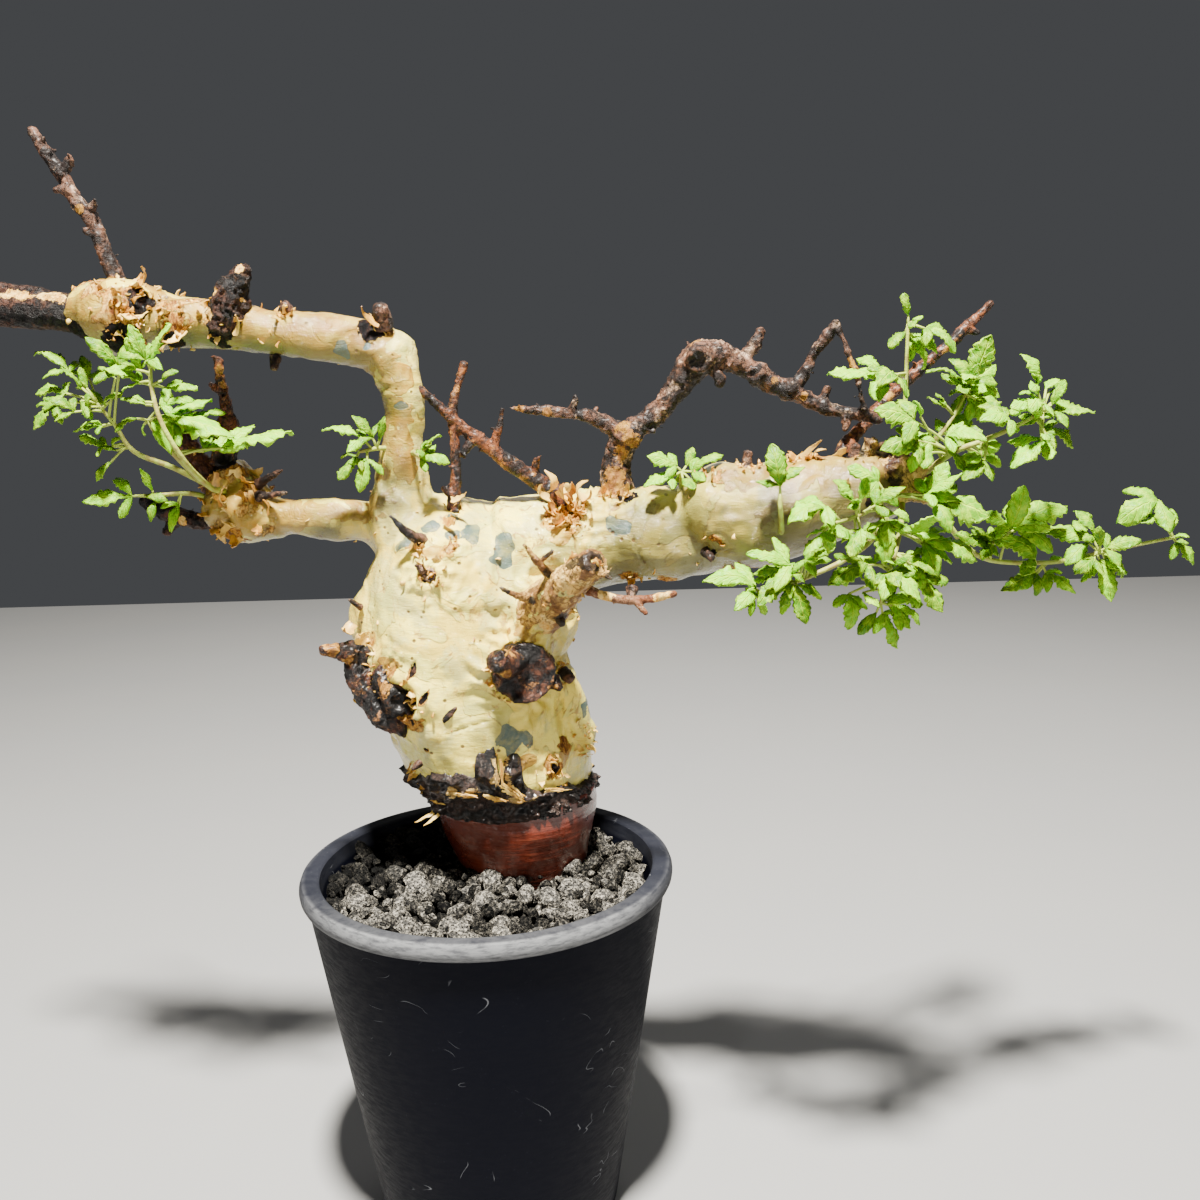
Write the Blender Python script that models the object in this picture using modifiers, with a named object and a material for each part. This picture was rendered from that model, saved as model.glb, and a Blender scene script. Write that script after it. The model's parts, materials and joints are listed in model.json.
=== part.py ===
"""A commiphora, a small tree with a swollen trunk, in a plain round pot of lava gravel.

Run with blender --background --python part.py, or from the text editor. Metres, +Z up.
The origin is the middle of the pot's base, on the surface that the pot stands on.
+X runs to the right of the plant as it is usually seen, and +Y runs to its back.
Sizes and points below are in millimetres, and a point is (x, y, z), or (x, y, z, radius).
"""

import math
import random

import bmesh
import bpy
from mathutils import Matrix, Vector, noise

MM = 0.001
WELD = 1e-6
GAP = 0.35
SEED = 27

# The pot
POT_HEIGHT = 150.0
POT_RIM_RADIUS = 76.0
POT_TOP_RADIUS = 74.0
POT_MOUTH_RADIUS = 68.0
POT_BASE_RADIUS = 50.0
POT_WALL = 3.4
POT_FLOOR = 5.0
POT_LIP = 7.0
# The rim's outer side, as (how far in from its widest radius, how far under its top)
POT_RIM_EDGE = ((0.6, 1.4), (0, 3.6), (0.8, POT_LIP - 0.8), (2.8, POT_LIP))
POT_FOOT_EDGE = 1.2
POT_STEPS = 36
DRAIN_HOLES = 5
DRAIN_RADIUS = 4.0
DRAIN_CIRCLE = 30.0
DRAIN_SIDES = 12

# The gravel
GRAVEL_TOP = 142.0
GRAVEL_MOUND = 1.5
GRAINS = 46
GRAIN_RADIUS = (4.6, 6.6)
# The least and the most of a grain's breadth over its length, its height, and its dents
GRAIN_BREADTH = (0.75, 1)
GRAIN_HEIGHT = 0.8
GRAIN_DENTS = (-0.18, 0.12)
GRAIN_TILT = 0.5
# How near two grains may lie, over the sum of their radii
GRAIN_SPACING = 0.9
GRAIN_TRIES = 20000
SPECIAL_GRAINS = ((-37, -13, 6.4), (-6, -14, 4.6))

# The root crown, and the band of old bark over it, with heights over the pot's base
CROWN = (
    (16, 20, 116, 12), (16, 20, 124, 18), (16, 20, 134, 22.5), (15.5, 20, 143, 25.5),
    (14, 20, 152, 29.5), (12.5, 20, 163, 32.8), (11.5, 20, 173, 33.6),
)
CROWN_SIDES = 20
# The height and the size of the bumps on the crown, the trunk and the dark wood
CROWN_BUMPS = (0.9, 22)
TRUNK_BUMPS = (1.6, 14)
WOOD_BUMPS = (1.0, 4)
TRUNK_VOXEL = 2.0
TRUNK_TRIANGLES = 2050
BARK_FOOT = 173.0 + GAP
BARK_EDGE = 185.5
BARK_PROUD = 1.3
BARK_TEAR = 2.0
# Waves of the torn edge and of the outer side: (height, waves in a whole turn)
BARK_EDGE_WAVES = ((1.4, 5), (1.0, 13))
BARK_SIDE_WAVE = (0.5, 9)
# Tongues of bark: (the middle's angle, half the width in degrees, the height)
BARK_TONGUES = (
    (-99, 10, 9), (-78, 7, 11), (-48, 10, 8), (-130, 12, 4), (-14, 10, 5),
    (30, 12, 8), (80, 14, 5), (122, 10, 9), (168, 14, 4), (205, 10, 7),
)
BARK_STEPS = 40
# The radius that the band is turned at, before it takes the trunk's
BARK_GUIDE = 10.0

# The trunk and its limbs
TRUNK = (
    (10, 21, 170, 35.5), (9, 22, 176, 37.2), (7, 21, 181, 38.6), (6, 21, 188, 39.2),
    (-1, 20, 206, 43), (-7, 19, 226, 42.5), (-9, 18, 244, 40.5), (-7, 17, 261, 38.5),
    (-1, 17, 274, 35), (5, 17, 282, 28),
)
# The trunk starts inside the bark band, narrower than the band
TRUNK_FOOT = (6.5, 21, 180, 36)
TRUNK_ROOT = 3
RIGHT_LIMB = (
    (14, 17, 273, 26), (34, 15, 277, 22), (55, 12, 280, 19.3), (74, 8, 282, 18.8),
    (91, 4, 284, 17.6), (104, 0, 288, 19.6), (118, -4, 292, 19.4), (135, -8, 296, 17.6),
    (149, -12, 300, 15), (159, -14, 303, 12),
)
UPPER_ARM = (
    (-10, 16, 266, 24), (-21, 15, 279, 20), (-29, 14, 291, 15), (-29, 12, 305, 11.2),
    (-27, 10, 317, 9.5), (-26, 9, 328, 8.5), (-26, 8, 341, 8.6), (-28, 7, 352, 9.4),
    (-34, 6, 358, 9.4), (-42, 5, 360, 8.6), (-52, 4, 361, 8.8), (-64, 3, 362, 9),
    (-76, 3, 364, 8.8), (-89, 3, 367, 9.2), (-101, 3, 369, 9.2), (-112, 3, 370, 9.8),
    (-123, 3, 372, 11.8), (-132, 3, 373, 12.6), (-140, 4, 374, 10.4), (-147, 5, 374, 8.4),
)
LOWER_ARM = (
    (-18, 17, 270, 19), (-32, 19, 284, 14.5), (-43, 20, 290, 9.6), (-56, 22, 291, 8.1),
    (-70, 23, 292, 7.4), (-82, 24, 292, 8.8), (-92, 25, 294, 11.6), (-101, 25, 296, 12.6),
    (-109, 25, 296, 10),
)
LOWER_ARM_STUB = ((-95, 25, 297, 11.5), (-100, 25, 305, 10.4), (-103, 25, 312, 9))
FRONT_BRANCH = (
    (17, 6, 242, 13), (22, -6, 252, 10), (29, -17, 261, 8), (36, -27, 268, 6.6),
    (42, -34, 274, 5.6), (48, -40, 279, 4.6),
)
TRUNK_LUMPS = (
    (-37, 12, 249, 17), (-40, 14, 224, 17.5), (-29, 14, 208, 14), (-17, -6, 267, 13),
    (20, 4, 252, 21), (30, 12, 201, 14.5), (20, 6, 222, 13), (17, -9, 234, 13),
    (8, 44, 238, 20), (-24, 40, 222, 16), (26, 38, 208, 14), (100, -2, 291, 20.6),
    (-130, 3, 371, 13.6), (-97, 25, 295, 13.4), (-28, 10, 355, 10),
)
THORNS = (
    ((-22, -16, 274, 3.6), (-29, -25, 281, 2.2), (-34, -31, 287, 0.8)),
    ((-88, 20, 306, 2.6), (-82, 16, 309, 1.6), (-76, 13, 312, 0.7)),
    ((-88, 18, 301, 2.6), (-74, 8, 303, 0.8)),
    ((-73, 3, 356, 3), (-73, 0, 351, 1.8)),
    ((-31, 4, 366, 4.8), (-32, 1, 371, 3.8), (-32, -1, 374, 2.6)),
    ((107, 0, 304, 2.2), (108, 0, 315, 1.7)),
    ((35, -19, 240, 4), (41, -26, 238, 2.6)),
    ((26, -20, 262, 3), (18, -28, 266, 1.7), (13, -32, 269, 0.8)),
    ((32, -22, 270, 3), (24, -32, 279, 0.9)),
    ((47, -34, 276, 3), (58, -38, 272, 0.8)),
    ((-18, -22, 265, 5), (-19, -28, 263, 3.6)),
    ((62, -2, 263, 3.4), (61, -6, 259, 1.8)),
    ((-66, 2, 371, 3.8), (-67, -2, 376, 2.4)),
)
# A flake of bark: where it starts, where it ends, how wide it is
FLAKES = (
    ((-103, 14, 302), (-110, 9, 307), 6), ((-92, 13, 302), (-89, 6, 309), 7),
    ((-100, 13, 290), (-103, 8, 283), 6), ((-89, 15, 286), (-85, 10, 280), 6),
    ((-92, 37, 293), (-89, 42, 287), 6),
    ((-120, -6, 366), (-126, -10, 360), 6), ((-108, -4, 366), (-102, -8, 361), 6),
    ((-94, -3, 374), (-97, -7, 380), 6),
    ((36, -1, 293), (30, -8, 301), 9), ((30, -4, 290), (37, -12, 295), 9),
    ((33, -6, 284), (26, -13, 287), 7),
    ((-22, 2, 292), (-18, -7, 301), 7), ((-14, -1, 288), (-8, -9, 297), 7),
    ((122, -4, 310), (128, -8, 318), 6), ((129, -8, 310), (137, -12, 315), 6),
    ((93, 0, 300), (90, -5, 306), 6),
    ((40, 0, 216), (47, -5, 219), 6), ((-7, 55, 238), (-11, 60, 244), 7),
)
FLAKE_THICKNESS = 0.9
# The share of a flake's length that is sunk in the wood, and how far it curls out
FLAKE_ROOT = 0.35
FLAKE_BEND = 0.28
# How far along, and half the width there over half the broad end's
FLAKE_OUTLINE = ((0, 1), (0.55, 0.9), (1, 0.25))

# Dark and brown wood that grew on the trunk: (x, y, z, radius) along each twig
KNOBBED_BRANCH = (
    (
        (56, 10, 291, 9), (57, 10, 298, 7.4), (57, 10, 305, 6.2), (58, 10, 314, 5.4),
        (62, 9, 322, 6), (69, 8, 327, 4.8), (76, 7, 333, 4.3), (82, 6, 341, 5.2),
        (88, 5, 349, 6.8), (94, 4, 352, 6.4), (103, 4, 350, 4.7), (112, 4, 344, 4),
        (123, 3, 338, 3.8), (132, 2, 334, 3.4), (141, 1, 330, 2.8), (152, 0, 328, 2.8),
        (159, -1, 326, 2),
    ),
    ((61, 9, 323, 3.6), (51, 9, 328, 2.8), (46, 8, 330, 2.7), (38, 8, 331, 2.4),
     (31, 7, 332, 2.2), (24, 7, 333, 1.9), (16, 7, 334, 1)),
    ((106, 4, 347, 3.2), (109, 4, 353, 2.6), (112, 4, 356, 2.5), (114, 4, 361, 2)),
    ((126, 3, 338, 2.8), (131, 3, 345, 2.3), (134, 3, 352, 2), (139, 3, 358, 1.9),
     (142, 2, 364, 1.5)),
    ((142, 2, 364, 1.5), (148, -1, 347, 1.3), (153, -1, 329, 1.4)),
    ((68, 8, 327, 3), (72, 4, 323, 1.4)),
    ((94, 4, 350, 3.4), (98, 1, 341, 1.6)),
    ((137, 2, 332, 2.6), (139, 1, 339, 1.3)),
    ((146, 0, 328, 2.4), (145, -2, 322, 1.2)),
    ((40, 8, 331, 2.4), (42, 6, 338, 1.1)),
)
KNOBS = ((90, 2, 351, 6.6), (62, 7, 322, 6.4), (112, 3, 344, 4.8), (124, 2, 338, 4.6))
CROSSED_TWIG = (
    (
        (36, 9, 294, 4.6), (33, 8, 300, 4), (27, 8, 304, 3.6), (16, 7, 312, 3.1),
        (6, 6, 320, 2.8), (-2, 6, 326, 2.5), (-9, 5, 333, 2.1), (-15, 5, 339, 1.7),
        (-22, 5, 346, 1),
    ),
    ((10, 6, 317, 2.2), (10, 6, 322, 1.8), (12, 6, 328, 1.5), (13, 6, 334, 1)),
    ((-8, 4, 282, 4), (-8, 3, 291, 3.2), (-7, 3, 299, 2.4), (-6, 4, 308, 2),
     (-6, 5, 318, 1.8), (-6, 6, 328, 2.4), (-6, 6, 336, 2), (-4, 7, 343, 1.8),
     (-1, 8, 352, 1.4)),
    ((24, 8, 307, 2.4), (26, 6, 314, 1.2)),
    ((2, 6, 323, 2.2), (-3, 4, 317, 1.1)),
    ((-6, 3, 300, 2), (-11, 1, 304, 1)),
)
PEELED_TIP = (
    ((-148, 5, 374, 7.4), (-155, 6, 375, 7.2), (-168, 8, 376, 7.1), (-180, 10, 377, 7),
     (-190, 12, 378, 6.2), (-196, 13, 378, 3.4)),
    ((-160, 6, 381, 3), (-178, 8, 384, 2.4), (-193, 11, 385, 1.4)),
)
TIP_TWIG = (
    ((-130, 3, 378, 5.4), (-131, 3, 384, 4), (-132, 3, 390, 3.4), (-135, 3, 399, 3.1),
     (-139, 4, 409, 2.9), (-144, 4, 416, 2.6), (-148, 5, 424, 2.4), (-154, 6, 433, 2.2),
     (-159, 7, 442, 1.6)),
    ((-148, 5, 425, 2), (-144, 4, 430, 1.3)),
    ((-136, 4, 402, 2.6), (-141, 2, 404, 1.2)),
    ((-140, 4, 410, 2.6), (-136, 2, 414, 1.2)),
    ((-146, 4, 419, 2.4), (-151, 3, 419, 1.2)),
)
ARM_STUMP = (
    ((-90, -1, 366, 7), (-88, -2, 372, 7.2), (-86, -3, 379, 6.8), (-82, -4, 385, 5),
     (-80, -4, 389, 3)),
)
HANGING_TWIG = (
    ((-103, 25, 314, 5.6), (-102, 25, 321, 5.2), (-100, 25, 330, 4.4), (-100, 24, 339, 2.6),
     (-101, 23, 348, 2.1), (-101, 22, 357, 1.9)),
    ((-100, 24, 342, 2.2), (-106, 23, 347, 1.3)),
)
RUST_STUB = (
    ((-104, 28, 300, 5), (-110, 28, 308, 5.3), (-116, 29, 317, 5.1), (-122, 30, 327, 4.6),
     (-127, 31, 335, 3.4)),
)
BLACK_STUB = (
    ((-108, 26, 291, 3.6), (-117, 27, 291, 3.8), (-126, 28, 294, 3.8), (-134, 29, 297, 3),
     (-140, 30, 300, 1.6)),
    ((-124, 28, 293, 3), (-130, 27, 287, 1.6)),
)
BACK_TWIG = (
    ((142, -2, 306, 4.4), (147, 3, 316, 3.4), (156, 9, 325, 2.6), (166, 14, 334, 2.4),
     (176, 16, 343, 2.3), (187, 18, 351, 2.2), (197, 20, 360, 2.1), (208, 22, 370, 1.5)),
    ((197, 20, 360, 2), (202, 18, 358, 1.1)),
    ((166, 14, 334, 2.2), (163, 16, 340, 1.1)),
)
DRY_TWIG = (
    ((43, -28, 268, 2.2), (48, -31, 266, 1.8), (56, -33, 264, 1.7), (66, -34, 264, 1.6),
     (77, -35, 266, 1.2)),
    ((62, -34, 264, 1.6), (66, -36, 259, 1)),
)
LIMB_END = (
    ((154, -13, 302, 11.4), (161, -15, 304, 10.4), (168, -17, 306, 8), (174, -18, 308, 4.8)),
    ((150, -14, 310, 4.2), (152, -17, 319, 2.2)),
    ((163, -18, 310, 3.6), (161, -21, 318, 1.6)),
    ((170, -14, 308, 3.4), (176, -11, 314, 1.5)),
    ((168, -20, 300, 3.4), (175, -25, 296, 1.5)),
    ((158, -8, 308, 3.6), (160, -2, 316, 1.6)),
)
CUT_STUB = (
    ((19, -14, 234, 12), (18, -23.5, 234, 11)),
    ((20, -20, 234, 6.5), (12, -30, 236, 5.2), (6, -36, 238, 4.6)),
)
LEFT_SCAR = (
    ((-43, -10, 239, 6), (-39, -16, 230, 6), (-31, -20, 222, 6), (-22, -21, 217, 5)),
    ((-47, 0, 238, 5.4), (-49, -5, 230, 5.4), (-45, -10, 220, 5.6), (-36, -15, 213, 5)),
    ((-50, -2, 239, 4.6), (-57, -7, 243, 3), (-63, -11, 247, 1.2)),
)

# Leafy shoots: the points of the stem, then each leaf's joint and the tip of its middle leaflet
SHOOTS = {
    "leafy_shoot_upright": (
        ((162, -15, 306), (164, -15, 318), (165, -14, 333), (166, -12, 361)),
        (((166, -12, 364), (164, -14, 372)), ((172, -14, 359), (182, -20, 351)),
         ((165, -12, 358), (158, -16, 353)), ((155, -16, 343), (135, -20, 344)),
         ((168, -8, 356), (176, -4, 345))),
    ),
    "leafy_shoot_back": (
        ((166, -10, 306), (178, 2, 314), (189, 10, 324), (197, 14, 336)),
        (((198, 14, 339), (205, 12, 357)), ((194, 12, 338), (179, 6, 345)),
         ((200, 18, 338), (211, 24, 346)), ((199, 14, 333), (212, 18, 331)),
         ((186, 7, 330), (178, 2, 334)), ((189, 12, 318), (200, 20, 327))),
    ),
    "leafy_shoot_right": (
        ((168, -20, 304), (180, -25, 314), (190, -27, 318), (202, -27, 323), (212, -26, 328)),
        (((209, -27, 337), (203, -31, 349)), ((214, -23, 336), (220, -17, 340)),
         ((207, -29, 329), (198, -34, 331)), ((216, -27, 328), (229, -31, 328)),
         ((214, -24, 321), (226, -22, 315)), ((211, -30, 318), (198, -35, 309)),
         ((199, -29, 325), (187, -35, 327)), ((176, -30, 320), (188, -37, 320)),
         ((164, -31, 326), (149, -36, 331)), ((165, -32, 319), (151, -37, 317)),
         ((193, -18, 312), (201, -12, 317)), ((190, -30, 311), (181, -36, 305))),
    ),
    "leafy_shoot_far_right": (
        ((168, -14, 300), (180, -8, 291), (191, -3, 278), (203, 0, 270), (228, 2, 268),
         (248, 4, 271), (265, 5, 274), (278, 6, 276)),
        (((212, -2, 282), (234, 2, 291)), ((219, -5, 270), (206, -9, 280)),
         ((224, 5, 263), (211, 9, 256)), ((226, 1, 264), (236, -5, 257)),
         ((244, 6, 275), (227, 11, 281)), ((245, 1, 269), (235, -5, 265)),
         ((248, 3, 268), (252, -1, 252)), ((249, 1, 273), (261, -3, 277)),
         ((252, 8, 268), (264, 14, 260)), ((271, 6, 291), (254, 2, 284)),
         ((278, 8, 278), (280, 13, 287)), ((279, 5, 274), (285, 1, 266)),
         ((201, -5, 276), (186, -11, 282)), ((205, 3, 276), (216, 8, 283))),
    ),
    "leafy_shoot_front": (
        ((160, -22, 299), (153, -36, 299), (142, -48, 295), (129, -54, 292)),
        (((128, -54, 298), (114, -60, 295)), ((138, -50, 299), (131, -55, 308)),
         ((150, -36, 305), (139, -38, 311)), ((127, -56, 290), (119, -61, 283)),
         ((146, -50, 298), (155, -53, 305)), ((152, -44, 292), (149, -52, 278)),
         ((171, -34, 297), (190, -38, 292)), ((140, -54, 290), (135, -60, 282))),
    ),
    "leafy_shoot_centre": (
        ((163, -20, 296), (160, -30, 288), (156, -38, 279), (152, -43, 270), (150, -43, 262)),
        (((145, -44, 276), (130, -50, 271)), ((152, -48, 274), (161, -56, 265)),
         ((165, -38, 270), (173, -42, 258)), ((168, -32, 282), (188, -34, 276)),
         ((138, -45, 266), (138, -49, 254)), ((151, -42, 258), (157, -42, 245)),
         ((154, -38, 262), (169, -32, 260)), ((163, -34, 274), (176, -29, 269))),
    ),
    "leafy_shoot_low_left": (
        ((158, -18, 293), (151, -25, 283), (140, -29, 276), (128, -31, 271), (118, -30, 267),
         (109, -28, 264)),
        (((119, -33, 275), (103, -38, 281)), ((117, -34, 270), (106, -41, 262)),
         ((121, -35, 268), (124, -38, 254)), ((124, -36, 277), (133, -43, 283)),
         ((107, -28, 266), (88, -31, 271)), ((107, -24, 262), (101, -17, 256))),
    ),
    "leafy_shoot_left": (
        ((-108, 20, 306), (-120, 14, 314), (-133, 9, 321), (-138, 5, 332), (-143, 3, 340)),
        (((-127, -13, 351), (-134, -21, 364)), ((-153, 4, 352), (-167, 8, 361)),
         ((-147, 0, 346), (-152, -4, 354)), ((-154, 2, 344), (-168, 6, 345)),
         ((-159, 0, 340), (-166, -3, 331)), ((-149, -4, 337), (-158, -8, 343)),
         ((-139, 0, 339), (-132, -4, 344)),
         ((-142, 4, 331), (-152, 0, 330)), ((-143, 8, 323), (-151, 3, 328)),
         ((-142, 8, 317), (-148, 6, 310)), ((-148, 10, 350), (-152, 15, 359))),
    ),
    "leafy_shoot_left_front": (
        ((-109, 12, 309), (-114, 4, 318), (-119, -2, 327), (-121, -5, 333)),
        (((-114, -6, 335), (-87, -11, 327)), ((-117, -2, 338), (-105, 1, 341)),
         ((-108, 2, 332), (-95, 6, 336)), ((-124, -8, 334), (-131, -13, 330)),
         ((-93, -6, 322), (-65, -12, 328))),
    ),
    "leafy_shoot_left_upper": (
        ((-100, 13, 304), (-101, -1, 307), (-104, -18, 318), (-110, -22, 333), (-113, -20, 346),
         (-113, -19, 352)),
        (((-113, -19, 354), (-104, -22, 368)), ((-118, -17, 347), (-129, -20, 353)),
         ((-117, -18, 352), (-120, -22, 363)), ((-109, -16, 345), (-97, -18, 345)),
         ((-116, -19, 339), (-124, -21, 342))),
    ),
    "leafy_shoot_left_low": (
        ((-108, 22, 300), (-115, 19, 303), (-126, 16, 303), (-134, 14, 303)),
        (((-137, 13, 303), (-155, 8, 302)), ((-129, 14, 305), (-131, 9, 314)),
         ((-128, 14, 301), (-130, 11, 293)), ((-119, 15, 299), (-122, 10, 289))),
    ),
    "leafy_sprig_arm_left": (
        ((-30, 8, 319), (-35, 2, 320), (-42, -2, 319)),
        (((-40, -1, 323), (-55, -3, 329)), ((-37, 0, 324), (-43, -4, 333)),
         ((-34, -2, 323), (-31, -6, 332)), ((-43, -3, 317), (-50, -7, 309)),
         ((-39, -3, 316), (-42, -7, 304))),
    ),
    "leafy_sprig_arm_right": (
        ((-24, 8, 317), (-21, 0, 318), (-19, -4, 317)),
        (((-18, -4, 319), (-10, -8, 325)), ((-18, -5, 316), (-7, -8, 315))),
    ),
    "leafy_sprig_limb": (
        ((83, 6, 298), (82, 1, 304), (82, -2, 308)),
        (((80, -3, 310), (69, -7, 315)), ((78, -5, 306), (67, -11, 304)),
         ((84, 0, 310), (87, 2, 317)), ((86, -4, 308), (97, -7, 315))),
    ),
    "limb_leaf": (
        ((118, -18, 284), (117, -26, 289), (116, -29, 297), (116, -29, 301)),
        (((116, -29, 304), (113, -30, 319)),),
    ),
}

BLADE = 0.7
STALK_WIDTH = 1.1
STEM_RADIUS = (1.5, 0.9)
STEM_STEP = 13
# The right half of a leaf's outline, from its stalk round the side leaflet to the tip:
# how far along and how far out, over the length of the middle leaflet
LEAF_OUTLINE = (
    (0.03, 0.36), (0.36, 0.68), (0.09, 0.06), (0.42, 0.35), (0.54, 0.26), (0.78, 0.22),
)
SMALL_OUTLINE = ((0.26, 0.66), (0.08, 0.06), (0.46, 0.34))
YOUNG_OUTLINE = ((0.22, 0.36), (0.62, 0.34))
# How many of those points stand before the notch between the leaflets
LEAF_NOTCH = {LEAF_OUTLINE: 2, SMALL_OUTLINE: 1, YOUNG_OUTLINE: 0}
LEAF_MIDDLE = 0.5
SMALL_LEAF = 15.5
YOUNG_LEAF = 10.5
LEAF_ARCH = 0.12
LEAF_FOLD = 0.30
# The way that a leaf's upper side faces: the least and the most of x and of y, and z
LEAF_FACING = ((-0.35, 0.35), (-0.9, -0.3), 0.75)
# A stalk that reaches its leaf at a steeper turn than this has a neck behind the blade
STRAIGHT_STALK = 0.8
NECK = 1.8

# Colours, as linear RGB, with a roughness
POT_BLACK = ((0.012, 0.012, 0.016), 0.55)
LAVA = ((0.030, 0.027, 0.025), 0.95)
CROWN_RED = ((0.105, 0.022, 0.012), 0.28)
BARK_BLACK = ((0.018, 0.012, 0.009), 0.85)
CREAM = ((0.62, 0.50, 0.24), 0.35)
TWIG_BROWN = ((0.070, 0.030, 0.022), 0.75)
CHARRED = ((0.016, 0.011, 0.010), 0.85)
RUST = ((0.110, 0.034, 0.018), 0.7)
DRY_WOOD = ((0.170, 0.085, 0.040), 0.75)
LEAF_GREEN = ((0.190, 0.400, 0.060), 0.5)

plant = bpy.data.collections.new("potted_commiphora")
helpers = bpy.data.collections.new("helpers")


def place(point):
    return Vector(point[:3]) * MM


def remove(obj):
    data = obj.data
    bpy.data.objects.remove(obj, do_unlink=True)
    if isinstance(data, bpy.types.Mesh) and not data.users:
        bpy.data.meshes.remove(data)


def helper(name, data):
    """An object that shapes others and is left out of the render."""
    obj = bpy.data.objects.new(name, data)
    obj.hide_render = True
    obj.display_type = "WIRE"
    helpers.objects.link(obj)
    return obj


def as_mesh(obj):
    """Replaces obj by a plain mesh object of what its curve or modifiers make."""
    graph = bpy.context.evaluated_depsgraph_get()
    mesh = bpy.data.meshes.new_from_object(obj.evaluated_get(graph), depsgraph=graph)
    mesh.transform(obj.matrix_world)
    form = bmesh.new()
    form.from_mesh(mesh)
    bmesh.ops.remove_doubles(form, verts=form.verts, dist=WELD)
    bmesh.ops.triangulate(form, faces=form.faces)
    form.to_mesh(mesh)
    form.free()
    name = obj.name
    remove(obj)
    return helper(name, mesh)


def smooth_route(points, step):
    """Points about step apart on a smooth curve through the given ones, radius included."""
    rows = [Vector(point) for point in points]
    ends = [2 * rows[0] - rows[1], *rows, 2 * rows[-1] - rows[-2]]
    route = []
    for before, start, end, after in zip(ends, ends[1:], ends[2:], ends[3:]):
        pieces = max(1, round((end - start).length / step))
        for i in range(pieces):
            t = i / pieces
            bend = 2 * before - 5 * start + 4 * end - after
            twist = 3 * start - before - 3 * end + after
            route.append(start + 0.5 * ((end - before) * t + bend * t**2 + twist * t**3))
    return [*route, rows[-1]]


def tube(name, points, sides, step):
    """A round rod through (x, y, z, radius) points, with closed ends."""
    curve = bpy.data.curves.new(name, "CURVE")
    curve.dimensions = "3D"
    curve.bevel_depth = MM
    curve.bevel_resolution = (sides - 4) // 2
    curve.use_fill_caps = True
    spline = curve.splines.new("POLY")
    route = smooth_route(points, step)
    spline.points.add(len(route) - 1)
    for point, row in zip(spline.points, route):
        point.co = (*place(row), 1)
        point.radius = max(row[3], 0.3)
    return as_mesh(helper(name, curve))


def turned(name, profile, steps):
    """A body turned round +Z from (radius, height) points that run down its outer side."""
    mesh = bpy.data.meshes.new(name)
    form = bmesh.new()
    corners = [form.verts.new(place((radius, 0, height))) for radius, height in profile]
    for start, end in zip(corners, corners[1:]):
        form.edges.new((start, end))
    form.to_mesh(mesh)
    form.free()
    obj = helper(name, mesh)
    screw = obj.modifiers.new("Turn", "SCREW")
    screw.steps = steps
    screw.render_steps = steps
    screw.use_merge_vertices = True
    screw.merge_threshold = 0.00001
    return as_mesh(obj)


def joined(name, parts):
    """One mesh of several, still overlapping, which are removed."""
    form = bmesh.new()
    for part in parts:
        form.from_mesh(part.data)
        remove(part)
    mesh = bpy.data.meshes.new(name)
    form.to_mesh(mesh)
    form.free()
    return helper(name, mesh)


def ball(name, point, radius, detail=3):
    mesh = bpy.data.meshes.new(name)
    form = bmesh.new()
    place_and_size = Matrix.Translation(place(point)) @ Matrix.Scale(radius * MM, 4)
    bmesh.ops.create_icosphere(form, subdivisions=detail, radius=1, matrix=place_and_size)
    form.to_mesh(mesh)
    form.free()
    return helper(name, mesh)


def roughen(obj, bumps):
    """Moves each vertex along its normal by soft noise of the given height and size."""
    height, size = bumps
    mesh = obj.data
    shift = Vector((SEED, 2 * SEED, 3 * SEED))
    for vertex, normal in zip(mesh.vertices, [v.normal.copy() for v in mesh.vertices]):
        vertex.co += normal * noise.noise(vertex.co / (size * MM) + shift) * height * MM


def grown(name, limbs, lumps, voxel, triangles, bumps):
    """Limbs and lumps grown together into one closed body of about so many triangles."""
    parts = [tube(name + "_limb", limb, 12, 3) for limb in limbs]
    parts += [ball(name + "_lump", lump, lump[3]) for lump in lumps]
    body = joined(name, parts)
    fuse = body.modifiers.new("Fuse", "REMESH")
    fuse.mode = "VOXEL"
    fuse.voxel_size = voxel * MM
    soften = body.modifiers.new("Soften", "SMOOTH")
    soften.factor = 0.5
    soften.iterations = 4
    body = as_mesh(body)
    roughen(body, bumps)
    coarsen = body.modifiers.new("Coarsen", "DECIMATE")
    coarsen.ratio = triangles / len(body.data.polygons)
    coarsen.use_collapse_triangulate = True
    return as_mesh(body)


def combine(obj, others, operation):
    """A Boolean of obj with closed meshes, which are removed, keeping its largest body."""
    tools = bpy.data.collections.new("tools")
    helpers.children.link(tools)
    for other in others:
        helpers.objects.unlink(other)
        tools.objects.link(other)
    change = obj.modifiers.new("Combine", "BOOLEAN")
    change.operation = operation
    change.solver = "MANIFOLD"
    change.operand_type = "COLLECTION"
    change.collection = tools
    result = as_mesh(obj)
    for other in list(tools.objects):
        remove(other)
    bpy.data.collections.remove(tools)
    keep_largest(result)
    return result


def keep_largest(obj):
    """Drops every body of the mesh but the one with the largest volume."""
    form = bmesh.new()
    form.from_mesh(obj.data)
    left = set(form.verts)
    bodies = []
    while left:
        reached = {left.pop()}
        front = list(reached)
        while front:
            near = {edge.other_vert(vert) for vert in [front.pop()] for edge in vert.link_edges}
            front += near - reached
            reached |= near
        left -= reached
        bodies.append(reached)

    def volume(body):
        faces = {face for vert in body for face in vert.link_faces}
        return sum(f.verts[0].co.dot(f.verts[1].co.cross(f.verts[2].co)) for f in faces)

    bodies.sort(key=volume)
    for body in bodies[:-1]:
        bmesh.ops.delete(form, geom=list(body), context="VERTS")
    form.to_mesh(obj.data)
    form.free()


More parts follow.
